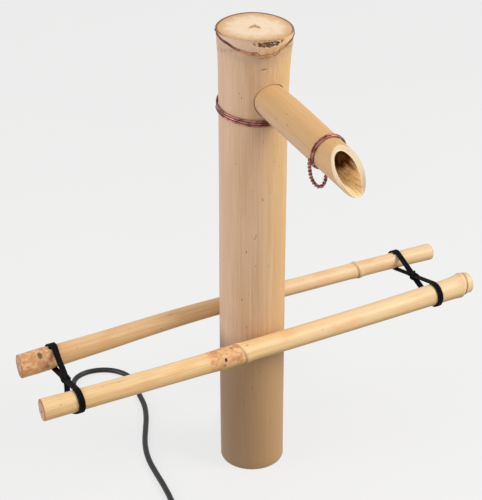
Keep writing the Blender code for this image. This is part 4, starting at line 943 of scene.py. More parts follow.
def face_finish(across, away, place):
    """Pale wood, warm toward the rind, with stains and pores and a caret of pith."""
    centre = across * across + away * away
    rings = noise(placed(place, (95, 95, 95)), 1.0, 4.0, 0.65)
    pith = noise(placed(place, (900, 900, 900)), 1.0, 2.0, 0.6)
    face = tint(band(centre + rings * 0.0010, 0.0008, 0.0016), CUT_PALE, CUT_WARM)
    face = tint(band(rings, 0.50, 0.70) * 0.45, face, CUT_STAIN)
    face = tint(band(pith, 0.52, 0.72) * 0.40, face, PORES)
    wing = (across * across) ** 0.5
    caret = hump(away + wing * 1.3 - 0.0040, 0.0, 0.0046) * (1 - band(wing, 0.0040, 0.0062))
    return tint(caret * 0.95, face, tint(band(pith, 0.35, 0.60), CARET_DARK, CARET_PALE)), pith


def culm_material():
    """Wall, scar and sawn face, each under its own mask, then the bore and the damp foot, darkened
    partly as painted shade.
    """
    material, shader, place = new_material("culm_bamboo_skin")
    x, y, z = parts(place)
    facing = (0.0, 0.0, VIEW_SIDE + math.pi / 2)
    across, away, _ = parts(along_cane(place, facing, HEAD_CENTRE))
    colour, grain = wall_finish(place, across, away)
    colour, fibres, tear = scar_finish(colour, place, across)
    face, pith = face_finish(across, away, place)
    cut = attribute(place, "cut")
    colour = tint(band(cut, 0.3, 0.7), colour, face)
    colour = tint(attribute(place, "edge") * 0.85, colour, RIND)
    inside = 1 - band(x * x + y * y, 0.00066, 0.00074)
    bore = inside * (1 - band(z, 0.440, 0.442))
    colour = tint(bore, colour, tint(grain, BORE_DARK, BORE_PALE))
    # The foot is darker below the arms, partly as if soaked and partly as painted shade; WET_SHADE
    # to WET_SUN is painted shade to painted light across it.
    soaked_and_shaded = 1 - band(z + noise(placed(place, (60, 60, 20))) * 0.02, 0.140, 0.172)
    damp_and_shaded = tint(band(across, -0.026, 0.024), WET_SHADE, WET_SUN)
    colour = tint(soaked_and_shaded * 0.74, colour, damp_and_shaded)
    height = grain * (1 - cut) + pith * cut * 0.6 + fibres * tear * 2.0
    feed(shader, Base_Color=colour,
         Roughness=0.50 + 0.10 * (1 - grain) + 0.2 * cut + 0.2 * tear - 0.06 * soaked_and_shaded,
         Normal=relief(height, 0.35, 0.0006), Specular_IOR_Level=0.42)
    return material


dress(culm, culm_material(), "culm", "culm_bamboo", "culm")
print("culm dressed")

# %% [markdown]
# ## The spout
#
# The spout is a thinner cane with the pith drilled out and the mouth cut on a
# slant, and its bore is worn egg-shaped near the mouth. A cylinder with a
# Boolean cut is quick, but leaves a knife edge. Here every lengthwise line of
# the grid ends at the slanted plane, turns over a soft lip and runs back along
# the bore.

# %% Lay out the spout
SPOUT_MOUTH_RADIUS = 0.0153
SPOUT_BORE = 0.0116
SPOUT_REACH = 0.1514
SPOUT_INNER_END = 0.0185
SPOUT_COLUMNS = 160
MOUTH_SLANT = 1.135
BORE_DROP = 0.0015
BORE_TALL = 0.155
BORE_NARROW = 0.13
BORE_SHEAR = 0.16
BORE_TAPER = 9.0
BORE_SHIFT = 0.0007
SPOUT_ROTATION = (math.pi / 2 + SPOUT_FALL, 0.0, SPOUT_TURN)
SPOUT_FRAME = Matrix.Translation(SPOUT_ROOT) @ Matrix.Rotation(SPOUT_TURN, 4, "Z") @ \
    Matrix.Rotation(math.pi / 2 + SPOUT_FALL, 4, "X")


def spout_to_world(local):
    """Points of the spout's own directions, turned and moved to their place."""
    frame_array = np.array(SPOUT_FRAME)
    return local @ frame_array[:3, :3].T + frame_array[:3, 3]


def spout_grid():
    """Out along the wall, over the lip and back along the bore. z runs along the cane.

    Near the mouth the bore is sheared, narrowed and lowered by shares of x and y.
    """
    angle = TAU * np.arange(SPOUT_COLUMNS) / SPOUT_COLUMNS
    one = np.ones(SPOUT_COLUMNS)
    oval = 0.00018 * uneven(angle, 0.0, 41, 4)

    def end(radius):
        """Where the slanted cut, slightly uneven, meets a circle of this radius."""
        slack = 0.00030 * uneven(angle, 0.0, 43, 7)
        return SPOUT_REACH - MOUTH_SLANT * radius * np.sin(angle) + slack

    outer = []
    for share in np.linspace(0, 1, 54):
        place = SPOUT_INNER_END + share * (end(SPOUT_MOUTH_RADIUS) - 0.0004 - SPOUT_INNER_END)
        narrow = np.clip((place - 0.045) / (SPOUT_REACH - 0.045), 0, 1)
        radius = SPOUT_RADIUS + (SPOUT_MOUTH_RADIUS - SPOUT_RADIUS) * narrow + oval
        radius = radius - 0.0010 * np.clip(1 - (place - 0.024) / 0.034, 0, 1) ** 1.5
        radius = radius + 0.00010 * uneven(angle, place, 47, 5, 0.06)
        outer.append((radius, place))
    mouth = outer[-1][0]
    bore = SPOUT_BORE + 0.00025 * uneven(angle, 0.0, 53, 5)
    lip = [(mouth - 0.0002, end(mouth - 0.0002) - 0.0001), (mouth - 0.0006, end(mouth - 0.0006))]
    for share in np.linspace(0.2, 0.85, 5):
        radius = mouth - 0.0006 + (bore - mouth + 0.0006) * share
        lip.append((radius, end(radius) + 0.00006 * uneven(angle, share, 59, 30, 0.4)))
    lip += [(bore + 0.0002, end(bore)), (bore, end(bore) - 0.0004)]
    inner = []
    for share in np.linspace(0.99, 0, 40):
        place = SPOUT_INNER_END + share * (end(SPOUT_BORE) - SPOUT_INNER_END)
        radius = bore + 0.00022 * uneven(angle, place, 61, 6, 0.018)
        inner.append((radius, place))
    rows = outer + lip + inner
    radius = np.stack([r * one for r, _ in rows])
    along = np.stack([s * one for _, s in rows])
    worn = np.clip((mouth - radius) / (mouth - SPOUT_BORE), 0, 1)
    worn = worn * np.clip((along - 0.095) / 0.045, 0, 1)
    x, y = radius * np.cos(angle), radius * np.sin(angle)
    low = (BORE_TALL * y - BORE_DROP) * worn
    neck = 0.0006 * np.clip(1 - along / 0.070, 0, 1)
    wide = ((BORE_NARROW - BORE_TAPER * y) * x + BORE_SHEAR * y + BORE_SHIFT) * worn
    return np.stack([x - wide, y + low - neck, along - MOUTH_SLANT * low], axis=-1)


spout = surface("spout_skin", spout_to_world(spout_grid()), closed_rows=True)
sharpen(spout, 45)
print("spout faces:", len(spout.data.polygons))


# %% Dress the spout
SPOUT_PALE = ink(214, 176, 132)
SPOUT_DEEP = ink(196, 153, 106)
SPOUT_FLECK = ink(120, 86, 56)
SPOUT_TOP = ink(212, 166, 106)
SPOUT_BELLY = ink(208, 178, 154)
SAWN_SHADE = ink(180, 157, 124)
SAWN_LIT = ink(215, 195, 161)
SAWN_LIP_HIGHLIGHT = ink(232, 210, 168)
BORE_DEEP_SHADE = ink(98, 54, 12)
BORE_MOUTH_LIGHT = ink(255, 220, 162)
SILT = ink(142, 92, 44)


def spout_material():
    """Cane outside; the sawn face with painted shade below and a painted highlight on its inner
    lip; inside the worn bore, painted shade deep in, painted light toward the mouth, and silt.

    The shape's shear is undone first, so that the bore is round for its mask.
    """
    material, shader, place = new_material("spout_bamboo_skin")
    local = along_cane(place, SPOUT_ROTATION, tuple(SPOUT_ROOT))
    x, y, z = parts(local)
    colour, grain = bamboo_colour(local, SPOUT_PALE, SPOUT_DEEP, SPOUT_FLECK, 0.73)
    colour = tint(band(y, -0.004, 0.014) * 0.5, colour, SPOUT_TOP)
    colour = tint((1 - band(y + x * 0.4, -0.014, 0.002)) * 0.5, colour, SPOUT_BELLY)
    worn = band(z, 0.095, 0.140)
    tall = (y + worn * BORE_DROP) / (worn * BORE_TALL + 1)
    narrow = worn * (BORE_NARROW - tall * BORE_TAPER)
    wide = (x + worn * (tall * BORE_SHEAR + BORE_SHIFT)) / (1 - narrow)
    off_axis = wide * wide + tall * tall
    inside = 1 - band(off_axis, 0.000138, 0.000146)
    slope = z + y * MOUTH_SLANT
    face = band(slope, SPOUT_REACH - 0.0011, SPOUT_REACH - 0.0003) * (1 - inside)
    # Painted shade low on the sawn face, painted light above it, and a painted highlight along its
    # inner lip.
    lit_face = band(y + noise(placed(local, (300, 300, 120))) * 0.006, -0.009, 0.007)
    ring = hump(off_axis, 0.000154, 0.000018) * (1 - band(x, 0.001, 0.008) * 0.8)
    sawn = tint(ring, tint(lit_face, SAWN_SHADE, SAWN_LIT), SAWN_LIP_HIGHLIGHT)
    colour = tint(face, colour, sawn)
    # Inside the bore: painted shade deep in, painted light toward the mouth and on the lower wall.
    film = noise(placed(local, (220, 220, 60)), 1.0, 3.0, 0.6)
    mouth_light = band(film + (z - 0.134) * 22.0 - y * 26.0 - x * 26.0, 0.32, 0.78)
    silt = noise(placed(local, (520, 520, 130)), 1.0, 3.0, 0.6)
    bore = tint(band(silt, 0.48, 0.62) * 0.38, tint(mouth_light, BORE_DEEP_SHADE, BORE_MOUTH_LIGHT), SILT)
    colour = tint(inside, colour, bore)
    feed(shader, Base_Color=colour,
         Roughness=0.50 + 0.10 * (1 - grain) - 0.30 * inside,
         Normal=relief(grain * (1 - inside) + film * inside * 1.5, 0.32, 0.0005),
         Specular_IOR_Level=0.42)
    return material


dress(spout, spout_material(), "culm", "spout_bamboo", "spout")
print("spout dressed")

# %% [markdown]
# ## The arms
#
# Each arm is a thin young cane, so it tapers, is slightly bowed and crooked, and
# has swollen nodes with a groove, an old bud, brown stains and orange mottling.
# A Screw modifier gives one profile all round. A radius that depends on both
# the place and the angle also gives the bud, and a square and a short table of
# heights give the bend. Both arms share the functions and differ in a table.

# %% Describe the two arms
ARM_LENGTH = 0.467
ARM_HEIGHT = 0.153
ARM_EDGE = 0.0008
ARM_CLEARANCE = 0.0007
LEFT_CUT = math.tan(math.radians(5))
RIGHT_CAP = 0.2130
RIGHT_CROWN = 0.2218
# bow: level, tilt and square. crook: places and lifts. bud: place, angle, softness.
# stains: place, angle in degrees, half width, share. mottle: offset from its node,
# half width, share.
FRONT_ARM = {"radius": 0.0099, "taper": 0.0006, "shift": -0.004, "side": -1,
             "nodes": (-0.0360, 0.2197), "slants": (0.0034, -0.0020), "swell": (0.0007, 0.0012),
             "faces": (1, -1), "belly": 0.0, "flare": 0.0009, "short": 0.0009,
             "crook": ((-0.24, 0.0), (0.24, 0.0)),
             "bow": (-0.0007, 0.0006, 0.0030), "bud": (-0.0568, math.radians(24), 1.0),
             "mottle": ((-0.0190, 0.0200, 1.0), (-0.0060, 0.0090, 0.45)), "seed": 71,
             "grooves": (0.9, 1.35), "bud_ink": (74, 26, 16),
             "stains": ((-0.0584, -6, 0.0019, 0.75), (-0.0470, 80, 0.0015, 0.7))}
REAR_ARM = {"radius": 0.0089, "taper": -0.0012, "shift": 0.007, "side": 1,
            "nodes": (0.147, -0.2005), "slants": (0.0012, 0.0008), "swell": (0.0011, 0.0004),
            "faces": (1, 1), "belly": 0.0016, "flare": 0.0, "short": 0.0,
            "crook": ((-0.24, -0.0012), (-0.14, -0.0012), (-0.105, 0.0002), (-0.035, 0.0014),
                      (0.05, 0.0001), (0.08, -0.0004), (0.24, -0.0006)),
            "bow": (0.0018, 0.0, -0.0034), "bud": (-0.2078, math.radians(55), 1.5),
            "mottle": ((-0.0040, 0.0060, 0.20), (-0.0115, 0.0195, 1.0)), "seed": 83,
            "grooves": (0.9, 0.25), "bud_ink": (112, 78, 42),
            "stains": ((-0.2050, 44, 0.0030, 0.42), (-0.2030, -8, 0.0018, 0.5))}
print("arms (m):", ARM_LENGTH, "long,", 2 * FRONT_ARM["radius"], 2 * REAR_ARM["radius"], "wide")


# %% Shape an arm
def share_along(arm, x):
    """-1 at the arm's left end, 0 in its middle and 1 at its right end."""
    return (x - arm["shift"]) / (ARM_LENGTH / 2)


def arm_axis(arm):
    """Height and distance of the arm's axis from the culm's axis."""
    return arm["side"] * (CULM_RADIUS + ARM_CLEARANCE + arm["radius"])


def arm_height(arm, x):
    """Height of the axis: a level, a tilt and a square along it, plus a smoothed crook."""
    share = share_along(arm, x)
    level, tilt, bow = arm["bow"]
    places, lifts = np.array(arm["crook"]).T
    crook = np.mean([np.interp(x + step, places, lifts) for step in (-0.02, -0.01, 0, 0.01, 0.02)],
                    axis=0)
    return ARM_HEIGHT + level + tilt * share + bow * share ** 2 + crook


def node_shape(distance):
    """Swelling near a node: a long rise, a sharp ridge and a groove beside it."""
    swelling = np.exp(-(distance / 0.0065) ** 2) * 0.55
    ridge = np.exp(-((distance - 0.001) / 0.0022) ** 2) * 0.5
    groove = np.exp(-((distance + 0.0022) / 0.0009) ** 2) * 0.55
    return swelling + ridge - groove


def arm_radius(arm, x, angle):
    """Radius: taper, fuller ends, slanted nodes, the bud on its swelling, and unevenness."""
    share = share_along(arm, x)
    radius = arm["radius"] + arm["taper"] * share + arm["flare"] * share ** 4
    radius = radius + arm["belly"] * (share ** 2 - 0.3)
    for node, tilt, swell, face in zip(arm["nodes"], arm["slants"], arm["swell"], arm["faces"]):
        slant = node + tilt * np.cos(angle + 0.5)
        radius = radius + swell * node_shape(face * (x - slant))
    if arm["side"] < 0:
        cap = np.clip((x - RIGHT_CAP) / 0.012, 0, 1)
        crown = np.exp(-((x - RIGHT_CROWN) / 0.011) ** 2) * np.clip(np.sin(angle), 0, 1)
        radius = radius - 0.0009 * cap * (1 - np.sin(angle)) + 0.0012 * crown - 0.0004 * cap
    place, facing, _ = arm["bud"]
    radius = radius + 0.0005 * np.exp(-((x - place) / 0.011) ** 2)
    near = ((x - place) / 0.0026) ** 2 + (turn_from(angle, facing) / 0.34) ** 2
    radius = radius + 0.0007 * np.exp(-near) - 0.0008 * np.exp(-near * 9)
    return radius + 0.00009 * uneven(angle, x, arm["seed"], 4, 0.09)


print("near arm's radius (m):", arm_radius(FRONT_ARM, np.linspace(-0.2, 0.2, 3), 0.0).round(5))


# %% Lay out an arm's rings
ARM_COLUMNS = 72


def arm_grid(arm):
    """Rings along X, with sawn ends that are slightly dished round the pith.

    A short run at each end slides along X by a share of y, so that the cut slants.
    """
    angle = TAU * np.arange(ARM_COLUMNS) / ARM_COLUMNS
    low = arm["shift"] - ARM_LENGTH / 2
    high = arm["shift"] + ARM_LENGTH / 2
    fine = [np.linspace(n - 0.016, n + 0.016, 44) for n in arm["nodes"]]
    fine.append(arm["bud"][0] + np.linspace(-0.006, 0.006, 30))
    body = np.concatenate([np.linspace(low + ARM_EDGE, high - ARM_EDGE, 90)] + fine)
    body = np.unique(np.clip(body, low + ARM_EDGE, high - ARM_EDGE))
    rows = []
    for share in (0.10, 0.16, 0.5, 0.86, 0.95):
        dish = 0.0010 if share < 0.12 else 0.0
        rows.append((low + dish, share, 0.0))
    rows.append((low + ARM_EDGE * 0.35, 0.985, 0.0))
    rows += [(x, 1.0, 0.0) for x in body]
    rows.append((high - ARM_EDGE * 0.35, 0.985, 0.0))
    for share in (0.95, 0.86, 0.5, 0.16, 0.10):
        rows.append((high, share, 0.0))
    x = np.array([r[0] for r in rows])[:, None]
    share = np.array([r[1] for r in rows])[:, None]
    saw = 0.00010 * uneven(angle, share * 0.01, arm["seed"] + 1, 9, 0.01) * (share < 0.99)
    radius = arm_radius(arm, x, angle[None, :]) * share
    y = arm_axis(arm) - radius * np.cos(angle)
    z = arm_height(arm, x) + radius * np.sin(angle)
    slanted = LEFT_CUT * (y - arm_axis(arm)) * np.clip(1 - (x - low) / 0.02, 0, 1)
    short = arm["short"] * np.clip(1 - (high - x) / 0.02, 0, 1)
    return np.stack([x + saw + slanted - short, y, z], axis=-1)


front_arm = surface("front_arm_skin", arm_grid(FRONT_ARM))
rear_arm = surface("rear_arm_skin", arm_grid(REAR_ARM))
print("arm faces:", len(front_arm.data.polygons), len(rear_arm.data.polygons))


# %% Paint the arms' masks
def arm_masks(obj, arm):
    """Paint the mottling, the groove, the bud and the sawn ends."""
    p = vertices_of(obj)
    angle = np.arctan2(p[:, 2] - arm_height(arm, p[:, 0]), arm_axis(arm) - p[:, 1])
    mottle = 0.0
    groove = 0.0
    for node, tilt, deep, face, (offset, half, share) in zip(
            arm["nodes"], arm["slants"], arm["grooves"], arm["faces"], arm["mottle"]):
        slant = node + tilt * np.cos(angle + 0.5)
        beyond = np.clip((slant + 0.001 - p[:, 0]) / 0.0012, 0, 1) if arm["side"] < 0 else 1.0
        mottle = mottle + share * beyond * np.exp(-((p[:, 0] - node - offset) / half) ** 4)
        low_side = 0.5 - 0.5 * np.sin(angle)
        # The groove's dark line is partly the node's own colour and partly painted shade, stronger
        # on the underside.
        line = np.exp(-((p[:, 0] - slant + 0.0022 * face) / 0.0010) ** 2)
        groove = groove + deep * line * (0.55 + 0.45 * low_side)
    place, facing, soft = arm["bud"]
    bud = np.exp(-((p[:, 0] - place) / 0.0017 / soft) ** 2
                 - (turn_from(angle, facing) / 0.22 / soft) ** 2)
    stain = 0.0
    for spot, side, half, share in arm["stains"]:
        stain = stain + share * np.exp(-((p[:, 0] - spot) / half) ** 2
                                       - (turn_from(angle, math.radians(side)) * 0.009 / half) ** 2)
    slanted = LEFT_CUT * (p[:, 1] - arm_axis(arm)) * (p[:, 0] < arm["shift"])
    slanted = slanted - arm["short"] * (p[:, 0] > arm["shift"])
    ends = np.abs(p[:, 0] - slanted - arm["shift"]) > ARM_LENGTH / 2 - ARM_EDGE * 0.5
    halo = np.exp(-((p[:, 0] - place) / 0.0042) ** 2 - (turn_from(angle, facing) / 0.5) ** 2)
    paint(obj, stain=np.clip(stain, 0, 1), mottle=np.clip(mottle, 0, 1),
          groove=np.clip(groove, 0, 1.2), halo=halo, bud=bud, sawn=ends)


for obj, arm in ((front_arm, FRONT_ARM), (rear_arm, REAR_ARM)):
    sharpen(obj, 42)
    arm_masks(obj, arm)
print("arm points painted:", len(front_arm.data.vertices), len(rear_arm.data.vertices))


# %% Dress the arms
FRONT_PALE = ink(242, 208, 156)
FRONT_DEEP = ink(222, 178, 116)
REAR_PALE = ink(234, 196, 146)
REAR_DEEP = ink(214, 168, 112)
ARM_FLECK = ink(150, 104, 62)
ARM_PALER_RIGHT = ink(240, 212, 170)
MOTTLE_DEEP = ink(204, 140, 88)
MOTTLE_PALE = ink(234, 186, 130)
MOTTLE_RED = ink(198, 118, 82)
MOTTLE_BROWN = ink(160, 96, 54)
MOTTLE_CREAM = ink(246, 214, 168)
UNDERSIDE_SHADE_LEFT = ink(194, 149, 84)
UNDERSIDE_SHADE_RIGHT = ink(186, 143, 60)
GROOVE_LINE_AND_SHADE = ink(116, 66, 34)
BLUSH = ink(226, 164, 104)
HALO = ink(236, 190, 142)
STAIN = ink(132, 78, 40)
END_PALE = ink(196, 158, 128)
END_RIND = ink(168, 122, 92)
END_PORES = ink(120, 84, 58)
END_PITH = ink(44, 26, 16)


def mottled_finish(colour, place):
    """Orange skin by a node: a painted mask broken up by noise, red, brown and cream."""
    patch = noise(placed(place, (130, 190, 190)), 1.0, 3.0, 0.6)
    blotch = noise(placed(place, (340, 420, 420)), 1.0, 2.0, 0.6)
    red = noise(placed(place, (90, 120, 120), (0.3, 0.1, 0.0)), 1.0, 2.0, 0.5)
    mottled = band(attribute(place, "mottle") * (0.55 + patch) - 0.35, 0.10, 0.42)
    skin = tint(band(patch, 0.4, 0.6), MOTTLE_DEEP, MOTTLE_PALE)
    colour = tint(mottled * 0.85, colour, skin)
    colour = tint(mottled * band(red, 0.54, 0.66) * 0.6, colour, MOTTLE_RED)
    colour = tint(mottled * band(blotch, 0.60, 0.70) * 0.7, colour, MOTTLE_BROWN)
    colour = tint(mottled * (1 - band(blotch, 0.30, 0.40)) * 0.6, colour, MOTTLE_CREAM)
    return colour, mottled, patch


def end_finish(local, x, y, radius):
    """The sawn end: pale wood, a darker rind, pores and a dark pith."""
    off_axis = x * x + y * y
    pores = noise(placed(local, (1500, 1500, 300)), 1.0, 2.0, 0.5)
    face = tint(band(off_axis, 0.5 * radius ** 2, 0.9 * radius ** 2), END_PALE, END_RIND)
    face = tint(band(pores, 0.52, 0.66) * 0.5, face, END_PORES)
    return tint(1 - band(off_axis, 0.0000008, 0.0000026), face, END_PITH)


def arm_material(name, pale, deep, arm):
    """Cane, paler toward the right, mottled skin, painted shade on the underside, then groove with
    painted shade, blush, bud, stains and ends.
    """
    material, shader, place = new_material(name)
    local = along_cane(place, (0.0, math.pi / 2, 0.0), (0.0, arm_axis(arm), ARM_HEIGHT))
    x, y, _ = parts(local)
    along, _, height = parts(place)
    colour, grain = bamboo_colour(local, pale, deep, ARM_FLECK, 0.735)
    # Paler toward the right end of each arm.
    colour = tint(band(along, -0.03, 0.09) * 0.55, colour, ARM_PALER_RIGHT)
    colour, mottled, patch = mottled_finish(colour, place)
    level, tilt, bow = arm["bow"]
    share = share_along(arm, along)
    # Painted shade on the underside of each arm, stronger toward the right.
    over_axis = height - (ARM_HEIGHT + level) - share * tilt - share * share * bow
    right = band(along, -0.15, 0.02)
    underside_shade = (1 - band(over_axis, -0.0075, 0.0015)) * (0.64 + 0.34 * right)
    colour = tint(underside_shade, colour, tint(right, UNDERSIDE_SHADE_LEFT, UNDERSIDE_SHADE_RIGHT))
    # Groove line: the node's own colour plus painted shade.
    colour = tint(attribute(place, "groove") * 0.85, colour, GROOVE_LINE_AND_SHADE)
    blush = band(noise(placed(place, (26, 60, 60)), 1.0, 2.0, 0.5), 0.52, 0.72)
    colour = tint(blush * 0.42, colour, BLUSH)
    colour = tint(attribute(place, "halo") * 0.55, colour, HALO)
    colour = tint(attribute(place, "stain"), colour, STAIN)
    colour = tint(band(attribute(place, "bud"), 0.25, 0.7), colour, ink(*arm["bud_ink"]))
    sawn = attribute(place, "sawn")
    colour = tint(sawn, colour, end_finish(local, x, y, arm["radius"]))
    feed(shader, Base_Color=colour,
         Roughness=0.40 + 0.10 * (1 - grain) + 0.25 * sawn + 0.1 * mottled,
         Normal=relief(grain + patch * mottled, 0.25, 0.0005),
         Specular_IOR_Level=0.45)
    return material


dress(front_arm, arm_material("front_arm_skin", FRONT_PALE, FRONT_DEEP, FRONT_ARM),
      "arms", "front_arm_bamboo", "front_arm")
dress(rear_arm, arm_material("rear_arm_skin", REAR_PALE, REAR_DEEP, REAR_ARM),
      "arms", "rear_arm_bamboo", "rear_arm")
print("arms dressed")

# %% [markdown]
# ## The lashings
#
# Waxed cord goes three and a half times round both arms in a figure of eight and
# is then pulled together between them. A rope simulation could tighten it, but
# the knots of a simulation are hard to place. The cord's path is written as
# laps: a half turn over one arm, a crossing, a half turn over the other. The
# laps spread over the arms and draw together in the middle, and where they rise
# to the far arm they lie on one another, as a twisted bundle does.

# %% Route the laps
TIE_RADIUS = 0.00104
TIE_TURNS = 3
TIE_SLANT = 0.0108
LEFT_TIE = -0.1978
RIGHT_TIE = 0.1918
LAP_RUN = 0.38
LAST_ANGLE = 0.3


def lift_over(arm, x):
    """Radius of a loop that clears the arm at x: its largest one there, plus the cord."""
    return float(np.max(arm_radius(arm, x, np.linspace(0, TAU, 24)))) + TIE_RADIUS


def half_turn(axis, radius, start, sweep, laps, side, pull=0.0, part=1.0, steps=15):
    """Rows of (y, z, laps, side, pull) over one arm: a circle round its axis."""
    share = np.linspace(0, part, steps)
    a = start + sweep * share
    return np.stack([axis + radius * np.cos(a), radius * np.sin(a), laps + LAP_RUN * share,
                     np.full(steps, side), pull * share ** 7], axis=1)


def crossing(start, end, laps, side, pull=0.0):
    """Rows between the arms: a straight line, on which the side changes its sign."""
    t = np.array([0.22, 0.5, 0.78])
    return np.stack([start[0] + (end[0] - start[0]) * t, start[1] + (end[1] - start[1]) * t,
                     np.full(3, laps), side * (1 - 2 * t),
                     pull * np.maximum(0.0, 1 - 2 * t)], axis=1)


def lap_rows(rear_y, rear_r, front_y, front_r):
    """The figure of eight: over the rear arm, across, over the front arm and back.

    The crossings touch both loops, which leans them by the angle whose sine is the
    radii's sum over the distance of the axes. The side is 1 at the rear arm.
    """
    lean = math.asin((rear_r + front_r) / (rear_y - front_y))
    sweep = math.pi + 2 * lean
    rear_in, rear_z = rear_y - rear_r * math.sin(lean), rear_r * math.cos(lean)
    front_in, front_z = front_y + front_r * math.sin(lean), front_r * math.cos(lean)
    first = (rear_y, rear_r, math.pi / 2 + lean, -sweep)
    second = (front_y, front_r, math.pi / 2 - lean, sweep)
    rows = []
    for lap in range(TIE_TURNS):
        rows += [half_turn(*first, lap + 0.06, 1.0),
                 crossing((rear_in, -rear_z), (front_in, front_z), lap + 0.5, 1.0),
                 half_turn(*second, lap + 0.56, -1.0, pull=1.0),
                 crossing((front_in, -front_z), (rear_in, rear_z), lap + 1.0, -1.0, pull=1.0)]
    part = (math.pi / 2 + lean - LAST_ANGLE) / sweep
    rows.append(half_turn(*first, TIE_TURNS + 0.06, 1.0, part=part, steps=8))
    return np.vstack(rows)


def lashing_path(station, spread_rear, spread_front, pull, seed):
    """Laps of (x, y, z). x drifts with the turn; a pull takes the cord back under the arm.

    Where they rise to the rear arm the laps stack on edge, because the turns twist them.
    """
    rear_x = station + TIE_SLANT / 2
    front_x = station - TIE_SLANT / 2
    rear_r, front_r = lift_over(REAR_ARM, rear_x), lift_over(FRONT_ARM, front_x)
    rear_y, front_y = arm_axis(REAR_ARM), arm_axis(FRONT_ARM)
    span = rear_y - front_y
    rows = lap_rows(rear_y, rear_r, front_y, front_r)
    y, rise, laps, side, pulled = rows.T
    near = np.clip((y - front_y) / span, 0, 1)
    spread = np.where(side > 0, spread_rear, spread_front)
    on_edge = laps % 1 == 0
    narrow = np.where(on_edge, 1.25, 1.9) * TIE_RADIUS
    pitch = narrow + (spread - narrow) * np.abs(side)
    jitter = np.random.default_rng(seed).normal(0, 0.00008, len(rows))
    x = front_x + (rear_x - front_x) * near + pitch * (laps - TIE_TURNS / 2) + jitter
    x = x - pull * pulled
    front_z, rear_z = arm_height(FRONT_ARM, front_x), arm_height(REAR_ARM, rear_x)
    z = rise + front_z + (rear_z - front_z) * near
    step = np.gradient(rows[:, :2], axis=0)
    across = np.stack([-step[:, 1], step[:, 0]], axis=1) / np.linalg.norm(step, axis=1)[:, None]
    stack = 1.3 * TIE_RADIUS * (laps - TIE_TURNS / 2 - 0.25) * (1 - np.abs(side))
    stack = stack * on_edge
    path = np.stack([x, y + across[:, 0] * stack, z + across[:, 1] * stack], axis=1)
    share = front_r / (rear_r + front_r)
    return path, np.array([front_x + (rear_x - front_x) * share, front_y + span * share,
                           front_z + (rear_z - front_z) * share])


LEFT_SPREADS = (0.00215, 0.0021, 0.0085)
RIGHT_SPREADS = (0.0019, 0.0020, 0.0)
print("left laps' crossing (m):", lashing_path(LEFT_TIE, *LEFT_SPREADS, 5)[1].round(4))


# %% Turn and join the lashings
WRAP_HALF_WIDTH = 0.0034
WRAP_HALF_HEIGHT = 0.0027
WRAP_TURNS = 2.5
WRAP_ADVANCE = 2 * TIE_RADIUS * 1.08


def frapping_path(centre):
    """Turns round the crossing: cosine and sine raised to 0.6, a rounded box, along Y."""
    a = np.linspace(0, TAU * WRAP_TURNS, int(WRAP_TURNS * 20) + 1)
    corner = 0.6
    x = WRAP_HALF_WIDTH * np.sign(np.cos(a)) * np.abs(np.cos(a)) ** corner
    z = WRAP_HALF_HEIGHT * np.sign(np.sin(a)) * np.abs(np.sin(a)) ** corner
    y = WRAP_ADVANCE * (a / TAU - WRAP_TURNS / 2)
    return centre + np.stack([x, y, z], axis=1)


LEFT_TIE_TAILS = (((0.0, 0.002, 0.0028), (-0.001, -0.003, 0.0034), (-0.001, -0.008, 0.0022)),
                  ((0.002, 0.001, -0.002), (0.002, 0.003, -0.0030), (0.001, 0.005, -0.003)))
RIGHT_TIE_TAILS = (((-0.001, -0.002, 0.003), (0.000, -0.005, 0.0042), (0.001, -0.008, 0.0036)),
                   ((0.001, 0.001, 0.003), (0.003, 0.003, 0.0038), (0.0035, 0.004, 0.001)))


def lashing(name, station, spreads, tails, seed, shift):
    """One mesh of the laps, the turns between the arms and the two cut ends."""
    laps, centre = lashing_path(station, *spreads, seed)
    laps = smooth_path(laps, 0.0016)
    wraps = smooth_path(frapping_path(centre + shift), 0.0012)
    pieces = [surface(name + "_laps", tube_grid(laps, TIE_RADIUS, 12)),
              surface(name + "_wraps", tube_grid(wraps, TIE_RADIUS * 0.95, 12))]
    for k, tail in enumerate(tails):
        path = smooth_path(centre + shift + np.array(tail), 0.0012)
        pieces.append(surface(f"{name}_tail_{k}", tube_grid(path, TIE_RADIUS * 0.92, 10)))
    return pieces


def joined(name, pieces):
    """One object from several meshes, by handing their faces to one bmesh."""
    bm = bmesh.new()
    for piece in pieces:
        bm.from_mesh(piece.data)
        bpy.data.objects.remove(piece, do_unlink=True)
    mesh = bpy.data.meshes.new(name)
    bm.to_mesh(mesh)
    bm.free()
    mesh.shade_smooth()
    obj = bpy.data.objects.new(name, mesh)
    bpy.context.scene.collection.objects.link(obj)
    return obj


left_tie = joined("left_lashing", lashing("left", LEFT_TIE, LEFT_SPREADS,
                                          LEFT_TIE_TAILS, 5, np.array([0.0, 0.0, 0.0])))
right_tie = joined("right_lashing", lashing("right", RIGHT_TIE, RIGHT_SPREADS,
                                            RIGHT_TIE_TAILS, 8, np.array([0.0, -0.003, 0.0])))
print("lashing faces:", len(left_tie.data.polygons), len(right_tie.data.polygons))


# %% Wax the cord
def waxed_cord_material():
    """Black cord: fine slanted strands across the map of the tube, with a waxy shine."""
    material, shader, place = new_material("waxed_black_cord")
    flat = place.node("ShaderNodeUVMap", {"uv_map": "along"})
    u, v, _ = parts(flat)
    strand = (u * 1500.0 + v * TAU * 2).sum("SINE", u * 5200.0 + v * TAU * 2) * 0.5 + 0.5
    dust = noise(placed(place, (900, 900, 900)), 1.0, 2.0, 0.6)
    colour = tint(strand * 0.6 + band(dust, 0.55, 0.75) * 0.4, ink(4, 4, 7), ink(22, 22, 28))
    feed(shader, Base_Color=colour, Roughness=0.55 + 0.2 * dust,
         Normal=relief(strand, 0.4, 0.0003), Specular_IOR_Level=0.10)
    return material


